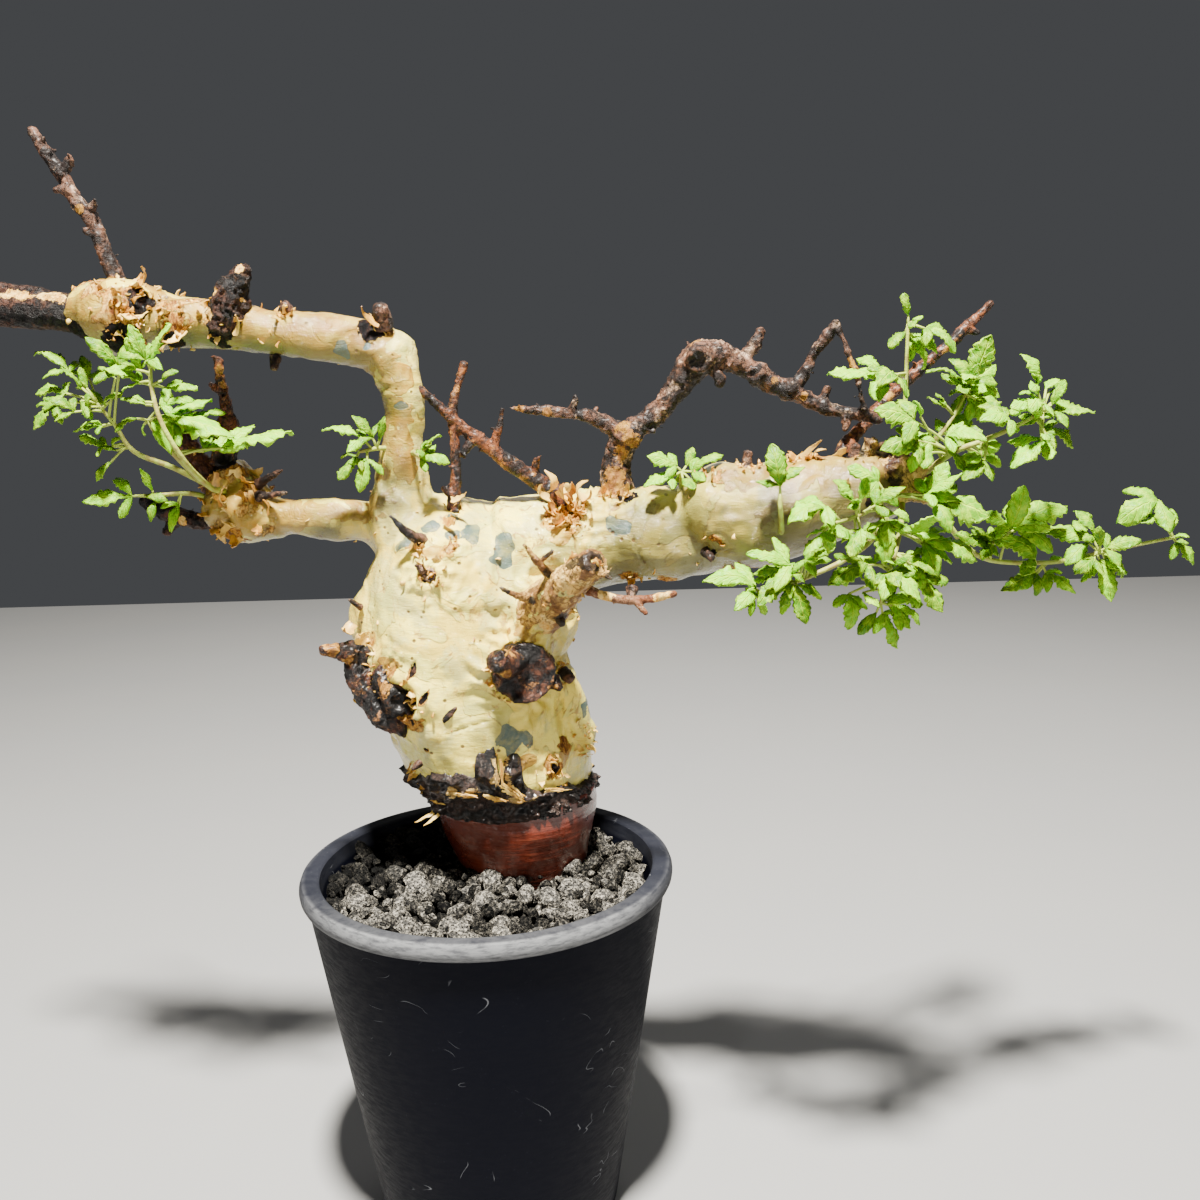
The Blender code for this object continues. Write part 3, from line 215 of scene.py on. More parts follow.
SHOOTS = {
    "leafy_shoot_upright": (
        ((162, -15, 306), (164, -15, 318), (165, -14, 333), (166, -12, 361)),
        (((166, -12, 364), (164, -14, 372)), ((172, -14, 359), (182, -20, 351)),
         ((165, -12, 358), (158, -16, 353)), ((155, -16, 343), (135, -20, 344)),
         ((168, -8, 356), (176, -4, 345))),
    ),
    "leafy_shoot_back": (
        ((166, -10, 306), (178, 2, 314), (189, 10, 324), (197, 14, 336)),
        (((198, 14, 339), (205, 12, 357)), ((194, 12, 338), (179, 6, 345)),
         ((200, 18, 338), (211, 24, 346)), ((199, 14, 333), (212, 18, 331)),
         ((186, 7, 330), (178, 2, 334)), ((189, 12, 318), (200, 20, 327))),
    ),
    "leafy_shoot_right": (
        ((168, -20, 304), (180, -25, 314), (190, -27, 318), (202, -27, 323), (212, -26, 328)),
        (((209, -27, 337), (203, -31, 349)), ((214, -23, 336), (220, -17, 340)),
         ((207, -29, 329), (198, -34, 331)), ((216, -27, 328), (229, -31, 328)),
         ((214, -24, 321), (226, -22, 315)), ((211, -30, 318), (198, -35, 309)),
         ((199, -29, 325), (187, -35, 327)), ((176, -30, 320), (188, -37, 320)),
         ((164, -31, 326), (149, -36, 331)), ((165, -32, 319), (151, -37, 317)),
         ((193, -18, 312), (201, -12, 317)), ((190, -30, 311), (181, -36, 305))),
    ),
    "leafy_shoot_far_right": (
        ((168, -14, 300), (180, -8, 291), (191, -3, 278), (203, 0, 270), (228, 2, 268),
         (248, 4, 271), (265, 5, 274), (278, 6, 276)),
        (((212, -2, 282), (234, 2, 291)), ((219, -5, 270), (206, -9, 280)),
         ((224, 5, 263), (211, 9, 256)), ((226, 1, 264), (236, -5, 257)),
         ((244, 6, 275), (227, 11, 281)), ((245, 1, 269), (235, -5, 265)),
         ((248, 3, 268), (252, -1, 252)), ((249, 1, 273), (261, -3, 277)),
         ((252, 8, 268), (264, 14, 260)), ((271, 6, 291), (254, 2, 284)),
         ((278, 8, 278), (280, 13, 287)), ((279, 5, 274), (285, 1, 266)),
         ((201, -5, 276), (186, -11, 282)), ((205, 3, 276), (216, 8, 283))),
    ),
    "leafy_shoot_front": (
        ((160, -22, 299), (153, -36, 299), (142, -48, 295), (129, -54, 292)),
        (((128, -54, 298), (114, -60, 295)), ((138, -50, 299), (131, -55, 308)),
         ((150, -36, 305), (139, -38, 311)), ((127, -56, 290), (119, -61, 283)),
         ((146, -50, 298), (155, -53, 305)), ((152, -44, 292), (149, -52, 278)),
         ((171, -34, 297), (190, -38, 292)), ((140, -54, 290), (135, -60, 282))),
    ),
    "leafy_shoot_centre": (
        ((163, -20, 296), (160, -30, 288), (156, -38, 279), (152, -43, 270), (150, -43, 262)),
        (((145, -44, 276), (130, -50, 271)), ((152, -48, 274), (161, -56, 265)),
         ((165, -38, 270), (173, -42, 258)), ((168, -32, 282), (188, -34, 276)),
         ((138, -45, 266), (138, -49, 254)), ((151, -42, 258), (157, -42, 245)),
         ((154, -38, 262), (169, -32, 260)), ((163, -34, 274), (176, -29, 269))),
    ),
    "leafy_shoot_low_left": (
        ((158, -18, 293), (151, -25, 283), (140, -29, 276), (128, -31, 271), (118, -30, 267),
         (109, -28, 264)),
        (((119, -33, 275), (103, -38, 281)), ((117, -34, 270), (106, -41, 262)),
         ((121, -35, 268), (124, -38, 254)), ((124, -36, 277), (133, -43, 283)),
         ((107, -28, 266), (88, -31, 271)), ((107, -24, 262), (101, -17, 256))),
    ),
    "leafy_shoot_left": (
        ((-108, 20, 306), (-120, 14, 314), (-133, 9, 321), (-138, 5, 332), (-143, 3, 340)),
        (((-127, -13, 351), (-134, -21, 364)), ((-153, 4, 352), (-167, 8, 361)),
         ((-147, 0, 346), (-152, -4, 354)), ((-154, 2, 344), (-168, 6, 345)),
         ((-159, 0, 340), (-166, -3, 331)), ((-149, -4, 337), (-158, -8, 343)),
         ((-139, 0, 339), (-132, -4, 344)),
         ((-142, 4, 331), (-152, 0, 330)), ((-143, 8, 323), (-151, 3, 328)),
         ((-142, 8, 317), (-148, 6, 310)), ((-148, 10, 350), (-152, 15, 359))),
    ),
    "leafy_shoot_left_front": (
        ((-109, 12, 309), (-114, 4, 318), (-119, -2, 327), (-121, -5, 333)),
        (((-114, -6, 335), (-87, -11, 327)), ((-117, -2, 338), (-105, 1, 341)),
         ((-108, 2, 332), (-95, 6, 336)), ((-124, -8, 334), (-131, -13, 330)),
         ((-93, -6, 322), (-65, -12, 328))),
    ),
    "leafy_shoot_left_upper": (
        ((-100, 13, 304), (-101, -1, 307), (-104, -18, 318), (-110, -22, 333), (-113, -20, 346),
         (-113, -19, 352)),
        (((-113, -19, 354), (-104, -22, 368)), ((-118, -17, 347), (-129, -20, 353)),
         ((-117, -18, 352), (-120, -22, 363)), ((-109, -16, 345), (-97, -18, 345)),
         ((-116, -19, 339), (-124, -21, 342))),
    ),
    "leafy_shoot_left_low": (
        ((-108, 22, 300), (-115, 19, 303), (-126, 16, 303), (-134, 14, 303)),
        (((-137, 13, 303), (-155, 8, 302)), ((-129, 14, 305), (-131, 9, 314)),
         ((-128, 14, 301), (-130, 11, 293)), ((-119, 15, 299), (-122, 10, 289))),
    ),
    "leafy_sprig_arm_left": (
        ((-30, 8, 319), (-35, 2, 320), (-42, -2, 319)),
        (((-40, -1, 323), (-55, -3, 329)), ((-37, 0, 324), (-43, -4, 333)),
         ((-34, -2, 323), (-31, -6, 332)), ((-43, -3, 317), (-50, -7, 309)),
         ((-39, -3, 316), (-42, -7, 304))),
    ),
    "leafy_sprig_arm_right": (
        ((-24, 8, 317), (-21, 0, 318), (-19, -4, 317)),
        (((-18, -4, 319), (-10, -8, 325)), ((-18, -5, 316), (-7, -8, 315))),
    ),
    "leafy_sprig_limb": (
        ((83, 6, 298), (82, 1, 304), (82, -2, 308)),
        (((80, -3, 310), (69, -7, 315)), ((78, -5, 306), (67, -11, 304)),
         ((84, 0, 310), (87, 2, 317)), ((86, -4, 308), (97, -7, 315))),
    ),
    "limb_leaf": (
        ((118, -18, 284), (117, -26, 289), (116, -29, 297), (116, -29, 301)),
        (((116, -29, 304), (113, -30, 319)),),
    ),
}

# The pot and its gravel
POT_HEIGHT = 150.0
POT_RIM_RADIUS = 76.0
POT_TOP_RADIUS = 74.0
POT_NECK_RADIUS = 73.2
POT_MOUTH_RADIUS = 68.0
POT_BASE_RADIUS = 50.0
POT_WALL = 3.4
POT_FLOOR = 5.0
POT_LIP = 7.0
# The rim's outer side, as (how far in from its widest radius, how far under its top)
POT_RIM_EDGE = (
    (1.3, 0.1), (0.8, 0.6), (0.5, 1.4), (0.1, 2.4), (0, 3.6), (0.2, 5.0), (0.8, 6.2), (1.6, 6.8),
)
POT_FOOT_EDGE = 1.2
POT_STEPS = 160
# Between these radii (metres) the rim turns from its dark flat top to its lip, where a highlight is
# painted
RIM_EDGE = (0.0728, 0.0746)
DRAIN_HOLES = 5
DRAIN_RADIUS = 4.0
DRAIN_CIRCLE = 30.0
# The plain bed under the grains: its height at the side, and its gap to the pot
BED_SIDE = 136.0
BED_GAP = 0.35
BED_STEPS = 96
# The grains lie on discs, a little higher in the middle: a disc's rings, how far in from the pot
# its edge is, how much higher its middle is, and the steps round it
LAYER_RADII = (2, 20, 40, 55)
LAYER_INSET = 3.6
LAYER_CROWN = 1.5
LAYER_STEPS = 64
GRAIN_SHAPES = 7
GRAIN_LEAN = 1.4
# Each layer of grains: (its height, the least distance, (least, greatest) radius, its draw)
GRAVEL_LAYERS = (
    (137.6, 6.4, (3.2, 5.0), 3), (141.2, 7.4, (2.6, 5.3), 5), (143.8, 10.5, (2.3, 5.0), 8),
    (144.6, 8.0, (0.9, 1.9), 12),
)

# The band of old bark
BARK_FOOT = 171.5
BARK_MIDDLE = (9.0, 21.0)
# The least radius of the skin that it lies on, and how far it stands out of it and goes in
BARK_RADIUS = 34.5
BARK_PROUD = 2.6
BARK_DEEP = 3.0
BARK_STEPS = 560
BARK_LEVELS = 36
# The radius where the rays that look for the skin start, and the one that its noise is laid on
BARK_FAR = 90.0
BARK_ROUND = 38.0
# How high it reaches: (angle in degrees, height)
BARK_TOPS = (
    (-180, 188), (-150, 188), (-135, 191), (-122, 194), (-110, 195.5), (-104, 194), (-103, 201),
    (-101, 204), (-93, 205), (-91.5, 194), (-89.5, 191), (-88.5, 199), (-86.5, 201), (-79, 200),
    (-77.5, 190), (-73, 185), (-60, 185), (-45, 183.5), (-30, 181), (-15, 179), (0, 178),
    (20, 180), (45, 185), (70, 193), (95, 189), (120, 194), (150, 187), (180, 188),
)
# Where the band is torn down to tan fibres: (x, y, z, radius)
TORN_SPOTS = (
    (9, -23, 199, 4), (9, -23, 193, 4.5), (11, -23, 188, 5), (15, -22, 183, 6), (22, -20, 180, 6),
    (5, -23, 184, 3.4), (0, -23, 185, 3), (-5, -22, 186, 3), (-10, -20, 187, 3), (-27, -11, 174, 5),
    (46, 4, 185, 3.5), (46, 30, 184, 6), (10, 63, 186, 7), (-28, 50, 186, 7), (32, -14, 183, 3),
)
# Thin torn fibres on the old bark: (from, to, how many, how far they stray)
STRANDS = (
    ((-9, -20, 187), (3, -23, 184), 12, 0.8), ((1, -22, 184), (14, -23, 181), 16, 1.2),
    ((9, -22, 200), (10, -23, 188), 9, 0.8), ((10, -22, 189), (20, -20, 181), 22, 1.8),
    ((-18, -12, 177), (-28, -14, 173), 10, 1.6), ((26, -18, 184), (40, -6, 182), 8, 0.8),
)
STRAND_PROUD = 2.8

# The trunk's skin
TRUNK_VOXEL = 1.05
# Where the skin is creased: (x, y, z, radius)
CREASED = (
    (-8, -14, 284, 14), (-24, -6, 286, 12), (24, -14, 262, 20), (36, -4, 290, 14), (8, -18, 258, 14),
    (-36, -14, 236, 16), (-20, -20, 222, 10), (-97, 20, 298, 18), (-126, 0, 372, 18), (124, -4, 306, 16),
    (148, -12, 300, 16), (92, -12, 282, 8), (20, -14, 212, 12), (36, 0, 206, 14), (58, 8, 294, 12),
    (-28, 8, 300, 12), (-30, 8, 354, 12), (-90, 0, 368, 12), (30, 34, 230, 15), (-20, 50, 230, 15),
)
# Rings of folds: (the middle, where they start, from fold to fold, height, reach)
FOLDS = (
    ((-15, -18, 272), 4, 4.2, 0.9, 5), ((-17, -14, 276), 12, 5.0, 0.5, 8),
    ((19, -28, 236), 13, 4.6, 0.7, 6), ((35, -12, 262), 10, 5.5, 0.7, 9),
    ((-34, -18, 225), 10, 5.0, 0.8, 7), ((-28, 10, 352), 12, 4.5, 0.45, 8),
    ((-97, 20, 300), 15, 4.5, 0.5, 8), ((36, -4, 290), 9, 3.8, 0.7, 6),
    ((94, -18, 281), 3, 3.2, 0.6, 4), ((57, 8, 296), 10, 4.0, 0.6, 5),
    ((34, 4, 227), 3, 3.6, 0.8, 4), ((30, -9, 194), 4, 4.0, 0.5, 6),
)
# Folds round a branch: (its foot, its way, how many, their radius, reach, height)
PLEATS = (
    ((27, -13, 257), (0.55, -0.6, 0.55), 15, 14, 9, 0.9),
    ((37, 2, 292), (-0.1, -0.35, 0.93), 15, 11, 8, 0.8), ((19, -20, 235), (0.2, -0.97, 0), 17, 17, 5, 0.7),
    ((-15, -12, 272), (-0.2, -0.9, 0.3), 11, 8, 5, 0.6),
    ((-27, 14, 298), (0, 0.1, 1), 9, 14, 7, 0.7), ((57, 10, 296), (0, 0, 1), 13, 10, 6, 0.7),
    ((-36, -6, 228), (-0.5, -0.8, 0), 15, 14, 6, 0.7), ((-97, 24, 300), (-0.1, 0, 1), 13, 13, 6, 0.6),
    ((100, -4, 290), (1, -0.2, 0.2), 9, 19, 4, 0.4),
)
# How far the trunk's lower left side is drawn in
SLIMMER = 5.0
# Hollows with a lip: (the middle, radius, depth, lip)
CRATERS = (
    ((19, -25, 235), 12.5, 3.5, 2.6), ((-28, -20, 224), 7.5, 3.0, 1.8),
    ((-15, -18, 272), 3.4, 1.2, 1.3), ((94, -19, 282), 1.8, 1.0, 0.8),
    ((92, -16, 277), 2.8, 1.4, 0.8), ((29, -10, 194), 2.4, 1.3, 0.7),
    ((-24, -16, 203), 1.6, 1.0, 0.6), ((-7, -14, 282), 3.2, 0.7, 0.9),
    ((34, 5, 227), 3.0, 0.4, 1.2),
)
# Where the skin is black or dark brown: (x, y, z, radius)
CHAR_SPOTS = (
    (19, -24, 235, 11.5), (-28, -19, 224, 7), (-35, 1, 364, 6.5), (-32, 0, 371, 6),
    (-127, -8, 362, 9), (-119, -6, 376, 6), (-108, -4, 362, 4.5), (-103, 24, 314, 8),
    (-110, 25, 291, 6), (92, -16, 277, 2.8), (32, -32, 263, 2.4), (-73, 1, 354, 3.5),
    (158, -15, 304, 9), (146, -12, 314, 5), (150, -22, 297, 5), (-145, 3, 368, 9),
    (-16, -17, 270, 2.6), (61, 2, 298, 4), (-8, 3, 290, 4.5), (107, -1, 308, 2.6),
    (-90, -2, 366, 7.5), (-86, 14, 300, 3), (29, -10, 193, 2.6), (-50, -4, 240, 7),
    (-44, -12, 228, 7), (-101, 20, 318, 7), (-36, -19, 219, 6), (-26, -21, 216, 4),
)
# Where it is torn down to orange and brown wood
RUST_SPOTS = (
    (-36, -16, 231, 9), (-26, -18, 216, 8), (-46, -4, 243, 8), (19, -24, 235, 15),
    (-104, 22, 306, 11), (-97, 19, 312, 8), (-92, 20, 300, 10), (-86, 22, 292, 9),
    (-100, 20, 288, 10),
    (-126, -4, 372, 13), (-108, -2, 370, 10), (-134, 0, 378, 9), (-90, -2, 370, 9),
    (-68, 2, 371, 7), (-100, -2, 378, 5), (-33, 3, 366, 8), (-15, -17, 272, 5.5),
    (-7, -14, 282, 4), (36, -2, 294, 9), (30, -4, 297, 8), (57, 8, 296, 9),
    (44, -32, 272, 7), (36, -26, 266, 7), (49, -40, 280, 5), (126, -4, 311, 9),
    (135, -8, 312, 7), (94, -12, 304, 6), (107, -6, 309, 6), (62, -2, 264, 6),
    (76, 0, 264, 5), (104, -4, 270, 8), (150, -14, 306, 9), (158, -16, 300, 10),
    (-84, 14, 305, 5), (94, -19, 283, 3), (33, -4, 200, 5), (14, -18, 196, 5),
    (28, -10, 193, 6), (20, -30, 248, 4),
    (-120, -4, 384, 5), (-143, 4, 380, 8), (50, 2, 288, 4),
)
# Smooth blue-grey windows in the skin
WINDOWS = (
    (13, -20, 207, 7), (5, -20, 206, 4.5), (20, -17, 206, 5), (-15, -8, 290, 6), (-8, -10, 288, 7),
    (0, -8, 287, 6), (-26, -8, 284, 5.5), (8, 5, 281, 8), (13, -5, 283, 7), (3, -6, 281, 6),
    (11, -8, 278, 6), (57, -6, 288, 6), (-5, -4, 296, 6), (-26, -4, 297, 3),
    (-38, -4, 361, 5), (-46, -2, 357, 5), (-24, 0, 336, 4), (40, 4, 214, 6), (0, 58, 236, 9),
    (-34, 44, 214, 8), (90, 16, 290, 8), (30, 34, 284, 8), (46, 18, 240, 7),
)
# Long marks with a raised lip, brown ones (1) and plain creases (0):
# (the middle, its long way, the way it faces, half its length, half its width, brown)
LENSES = (
    ((-22, -19, 237), (0.25, -0.1, 1), (-0.25, -0.97, 0), 3.3, 1.2, 1),
    ((-18, -20, 226), (0.45, -0.1, 0.85), (-0.25, -0.97, 0), 2.8, 0.8, 1),
    ((-23, -16, 204), (1, 0, -0.2), (-0.25, -0.97, 0), 2.2, 0.6, 1),
    ((32, -6, 211), (0, 0.05, 1), (0.7, -0.7, 0), 13, 1.5, 0),
    ((-2, -20, 214), (1, 0, 0.25), (0, -1, 0), 13, 0.9, 0),
    ((94, -10, 284), (0.1, 0, 1), (0, -1, 0), 15, 0.6, 0),
    ((63, -8, 282), (-0.35, 0, 1), (0, -1, 0), 14, 0.6, 0),
)
# Where the skin is grey-green, partly its own tone and partly painted shade on the limb and where the arms
# meet the trunk
OLIVE_AND_SHADE_SPOTS = (
    (-12, -20, 202, 9), (6, -20, 214, 10), (2, -20, 208, 8), (-28, 4, 300, 18), (-20, 2, 296, 12),
    (-60, 18, 287, 12), (68, -10, 284, 18), (72, -9, 274, 17), (88, -14, 282, 14), (-26, 6, 340, 12),
    (40, -2, 276, 12), (100, -4, 276, 14), (-8, 50, 225, 30),
)
# Where thin amber sheets of older skin still lie over the cream
AMBER_SPOTS = (
    (-74, -4, 366, 12), (-62, -4, 362, 11), (-52, -4, 362, 8), (-24, 0, 345, 8), (-26, 2, 322, 8),
    (-26, 2, 334, 9), (-24, 2, 312, 8), (-40, -3, 362, 8), (-86, -4, 366, 10),
    (-118, -6, 370, 16), (-100, -4, 370, 12), (-132, -4, 374, 12), (-92, 16, 296, 15),
    (-80, 14, 292, 12), (-104, 18, 300, 12), (-46, -4, 246, 9), (-36, -16, 236, 9),
    (34, -12, 262, 13), (27, -16, 256, 10), (34, 0, 290, 12), (58, 4, 290, 12), (20, -20, 250, 9),
    (104, -10, 304, 12), (124, -10, 306, 14), (142, -14, 306, 14), (150, -18, 300, 14),
    (32, -6, 196, 5), (18, -16, 196, 7), (0, -18, 196, 7), (-36, -2, 222, 8),
    (-10, -12, 282, 8), (-22, -8, 280, 8), (44, 40, 250, 14), (-30, 40, 240, 14), (8, 56, 206, 14),
)
# Where loose flakes of skin stand out
PEEL_SPOTS = (
    (-100, 20, 300, 9), (-88, 18, 294, 6), (-124, -2, 372, 18), (-106, 0, 370, 12),
    (-90, 0, 374, 10), (-68, 2, 370, 8), (34, -4, 294, 11), (-32, 4, 364, 8),
    (128, -4, 312, 12), (108, -6, 308, 8), (94, -12, 304, 6), (150, -14, 304, 12),
    (-36, -18, 228, 13), (-46, -4, 242, 9), (19, -26, 236, 16), (-15, -16, 272, 9),
    (-7, -12, 283, 7), (46, -36, 276, 8), (36, -26, 266, 8), (62, -2, 264, 6),
    (42, 0, 206, 8), (57, 8, 298, 9), (-8, 2, 290, 6), (-12, 40, 250, 14),
    (60, 24, 286, 10), (-100, 38, 294, 12), (-120, 14, 372, 10), (30, 46, 214, 10),
)

# The dark wood: (limbs, lumps, voxel, relief, spurs in 100 mm, its slot)
WOOD = {
    "knobbed_branch": (KNOBBED_BRANCH, KNOBS, 0.6, 0.75, 9, "brown_twig"),
    "crossed_twig": (CROSSED_TWIG, (), 0.48, 0.5, 8, "brown_twig"),
    "peeled_arm_tip": (PEELED_TIP, (), 0.66, 0.55, 2, "dark_wood"),
    "arm_tip_twig": (TIP_TWIG, (), 0.5, 0.6, 12, "brown_twig"),
    "arm_stump": (ARM_STUMP, (), 0.54, 1.1, 6, "dark_wood"),
    "hanging_twig": (HANGING_TWIG, (), 0.5, 0.6, 5, "dark_wood"),
    "rust_stub": (RUST_STUB, (), 0.54, 0.9, 8, "rust_wood"),
    "black_stub": (BLACK_STUB, (), 0.5, 0.8, 8, "dark_wood"),
    "back_twig": (BACK_TWIG, (), 0.5, 0.55, 8, "brown_twig"),
    "dry_twig": (DRY_TWIG, (), 0.42, 0.35, 5, "dry_wood"),
    "limb_end": (LIMB_END, (), 0.6, 1.1, 14, "dark_wood"),
    "cut_stub": (CUT_STUB, (), 0.54, 0.6, 0, "rust_wood"),
    "left_scar": (LEFT_SCAR, (), 0.54, 0.95, 3, "rust_wood"),
}

# The same for the thorns and the front branch's bark: (lumps, voxel, relief, spurs, seed)
THORN_WOOD = ((), 0.48, 0.4, 2, 71)
FRONT_WOOD = ((), 0.5, 0.55, 12, 61)

# The nodes whose look isn't their slot's
OTHER_LOOKS = {
    "cut_stub": "scar", "left_scar": "scar", "limb_end": "crust", "hanging_twig": "red_twig",
    "crossed_twig": "red_twig", "back_twig": "red_twig",
}
# How far a limb's end stands out, as a share of its radius, and the pieces with a flat end
ROUND_END = 0.6
FLAT_END = 0.1
CUT_FLAT = ("cut_stub", "rust_stub", "hanging_twig")
# The front branch's torn brown bark, over the trunk's own skin
FRONT_BARK = (
    ((24, -9, 254, 9.8), (27, -14, 258, 10), (31, -20, 263, 8.8), (36, -27, 268, 7.5),
     (42, -34, 274, 6.5), (48, -40.5, 279.5, 5.8)),
    ((26, -20, 262, 2.6), (18, -28, 266, 1.5), (13, -32, 269, 0.7)),
    ((32, -22, 270, 2.4), (27, -31, 278, 1.5), (22, -36, 286, 0.7)),
    ((28, -30, 279, 1.2), (33, -33, 283, 0.6)), ((47, -38, 277, 2.6), (54, -43, 273, 0.7)),
    ((33, -22, 258, 2.4), (35, -27, 254, 1.2)),
)


def tip_spots(start, step, y, z, radius):
    """Spots along the peeled tip of the upper arm, which leans back and rises to its end."""
    beyond = [(x, x + 148) for x in range(start, -148, step)]
    return tuple((x, y - far / 6, z - far / 10, radius) for x, far in beyond)


# Where the wood is torn down to tan fibres: (x, y, z, radius)
PALE_SPOTS = {
    "knobbed_branch": (
        (56, 4, 299, 8), (56, 3, 307, 7), (59, 3, 314, 6), (63, 3, 321, 5), (60, 3, 326, 4),
        (118, 0, 342, 2), (130, 0, 336, 2), (142, 2, 364, 2), (148, -1, 347, 3), (152, -1, 334, 3),
        (88, 2, 358, 3), (68, 5, 320, 2.5), (30, 6, 332, 2.5), (20, 6, 333, 2),
    ),
    "crossed_twig": ((36, 8, 296, 3), (24, 6, 308, 1.5)),
    "peeled_arm_tip": (
        *tip_spots(-196, 3, 1, 379, 3.2), (-192, 3, 372, 4), (-196, 6, 374, 4),
    ),
    "arm_tip_twig": ((-131, 0, 386, 2), (-142, 2, 412, 1.6), (-150, 4, 428, 1.6)),
    "arm_stump": ((-94, -6, 372, 4), (-91, -6, 380, 3), (-82, -8, 388, 3), (-80, -8, 376, 2)),
    "hanging_twig": ((-105, 20, 318, 3), (-99, 21, 346, 3), (-101, 20, 352, 3)),
    "rust_stub": ((-106, 24, 304, 4), (-116, 26, 321, 2.5)),
    "black_stub": ((-110, 23, 292, 3), (-122, 24, 291, 2)),
    "limb_end": ((156, -20, 311, 3), (166, -22, 306, 3), (150, -22, 304, 4)),
    "cut_stub": ((15, -30, 243, 3.2), (13, -32, 237, 3), (30, -22, 228, 2.4)),
    "left_scar": ((-36, -20, 229, 5), (-50, -8, 238, 4), (-34, -20, 214, 3), (-56, -10, 244, 5)),
    "front_branch": (
        (34, -30, 272, 6), (42, -38, 276, 4), (30, -26, 262, 4), (27, -22, 252, 4), (22, -20, 262, 3),
    ),
    "dry_twig": ((52, -33, 266, 4), (72, -36, 266, 4)),
    "back_twig": ((145, -2, 312, 3), (166, 12, 334, 2.5), (190, 16, 352, 2.5)),
}
# Where it is black: (x, y, z, radius)
BLACK_SPOTS = {
    "front_branch": (
        (50, -43, 281, 6), (46, -41, 280, 5), (40, -38, 279, 4.5), (49, -36, 274, 5),
        (33, -23, 258, 4.5), (24, -25, 263, 3.4), (31, -29, 273, 3), (21, -33, 285, 4),
        (30, -30, 283, 4), (14, -31, 269, 4), (54, -43, 273, 4), (35, -26, 255, 4),
    ),
    "knobbed_branch": (
        (89, -2, 350, 4.5), (76, 2, 336, 3), (112, 0, 346, 3), (120, 0, 338, 4), (150, -2, 334, 5),
        (140, 2, 340, 3),
    ),
    "crossed_twig": ((-1, 3, 300, 7), (-2, 2, 310, 6), (-2, 2, 320, 5), (-8, 2, 290, 6), (14, 5, 316, 3)),
    "hanging_twig": ((-102, 22, 316, 6),),
    "peeled_arm_tip": (*tip_spots(-186, 4, -2, 372, 5), *tip_spots(-196, 3, 6, 382, 3.4)),
    "back_twig": ((206, 18, 366, 5), (180, 14, 344, 3)),
    "limb_end": (
        (158, -24, 302, 5), (166, -16, 300, 7), (146, -16, 314, 4), (152, -24, 296, 4), (160, -12, 312, 3),
    ),
    "left_scar": ((-29, -22, 222, 7), (-46, -8, 236, 5), (-40, -14, 226, 4)),
    "cut_stub": ((11, -33, 242, 3.5), (24, -26, 240, 5), (16, -26, 228, 4)),
    "trunk_thorns": ((-26, -18, 292, 3), (-15, -19, 272, 3), (-34, 0, 370, 4)),
}
# Hollows in it: (the middle, radius, depth, lip)
HOLLOWS = {
    "cut_stub": (
        ((8, -38.5, 243.5), 3.4, 3.4, 0.5), ((22, -25, 232), 8, 2.0, 0.4), ((14, -23, 228), 4, 1.6, 0.4),
    ),
    "hanging_twig": (((-101, 19, 318), 3.6, 3.0, 0.6),),
    "knobbed_branch": (((89, -3, 350), 3.4, 2.0, 0.9), ((110, -1, 344), 2, 1, 0.5)),
    "left_scar": (((-29, -24, 224), 5.5, 4.5, 0.8), ((-44, -14, 242), 2.5, 2, 0.5)),
    "front_branch": (((49, -43, 281), 3.4, 2.4, 0.6),),
    "trunk_thorns": (((-15.5, -20.5, 272.5), 2.6, 2.4, 0.8),),
}

# Leaves
YOUNG_LEAF = 10.5
LEAF_ROWS = 21
LEAF_COLUMNS = 7
SMALL_LEAF_ROWS = 15
SMALL_LEAF_COLUMNS = 5
# How wide the leaves at the left are, as a share of the others' width
SLIM_LEAF = 0.78
STEM_RADIUS = 1.25
STEM_TAPER = 0.6
LEAF_THICKNESS = 0.34
LEAF_WIDTH = 0.25
LEAF_TEETH = 0.2
LEAF_TOOTH_COUNT = 6.5
LEAF_ARCHES = (0.04, 0.24)
LEAF_FOLDS = (0.15, 0.5)
# How many more leaves grow beside each of the CAD model's, where it isn't two
LEAVES_MORE = {
    "limb_leaf": 0, "leafy_sprig_arm_left": 0, "leafy_sprig_arm_right": 0, "leafy_sprig_limb": 1,
    "leafy_shoot_left": 1, "leafy_shoot_left_front": 1, "leafy_shoot_left_upper": 1,
    "leafy_shoot_left_low": 1, "leafy_shoot_upright": 1, "leafy_shoot_far_right": 1,
}

# Where no added leaf may end, so that the lower arm's knot is seen: (x, z, radius)
KEPT_CLEAR = ((-93, 309, 12), (-110, 305, 13))

# Colours, as linear RGB
CREAM_PALE = (0.92, 0.77, 0.13)
CREAM_DEEP = (0.76, 0.56, 0.07)
CREAM_GREY = (0.50, 0.465, 0.17)
CREAM_GREEN = (0.50, 0.50, 0.13)
CREAM_OCHRE = (0.50, 0.30, 0.03)
PEEL_EDGE = (0.30, 0.15, 0.03)
AMBER_LIGHT = (0.52, 0.28, 0.022)
AMBER_DEEP = (0.26, 0.12, 0.009)
# A dark grey-green, laid on the skin as its own tone and as painted shade
SKIN_OLIVE_AND_SHADE = (0.082, 0.074, 0.020)
WINDOW_BLUE = (0.070, 0.100, 0.078)
PIT_BROWN = (0.10, 0.05, 0.015)
RUST_DEEP = (0.13, 0.04, 0.010)
RUST_LIGHT = (0.56, 0.27, 0.04)
CHAR_BLACK = (0.004, 0.003, 0.003)
CHAR_BROWN = (0.045, 0.016, 0.008)
TORN_PALE = (0.78, 0.54, 0.17)
FLAKE_DEEP = (0.34, 0.13, 0.012)
FLAKE_LIGHT = (0.70, 0.37, 0.03)
FLAKE_CREAM = (0.88, 0.68, 0.18)
TWIG_DARK = (0.008, 0.004, 0.003)
TWIG_RED = (0.16, 0.048, 0.014)
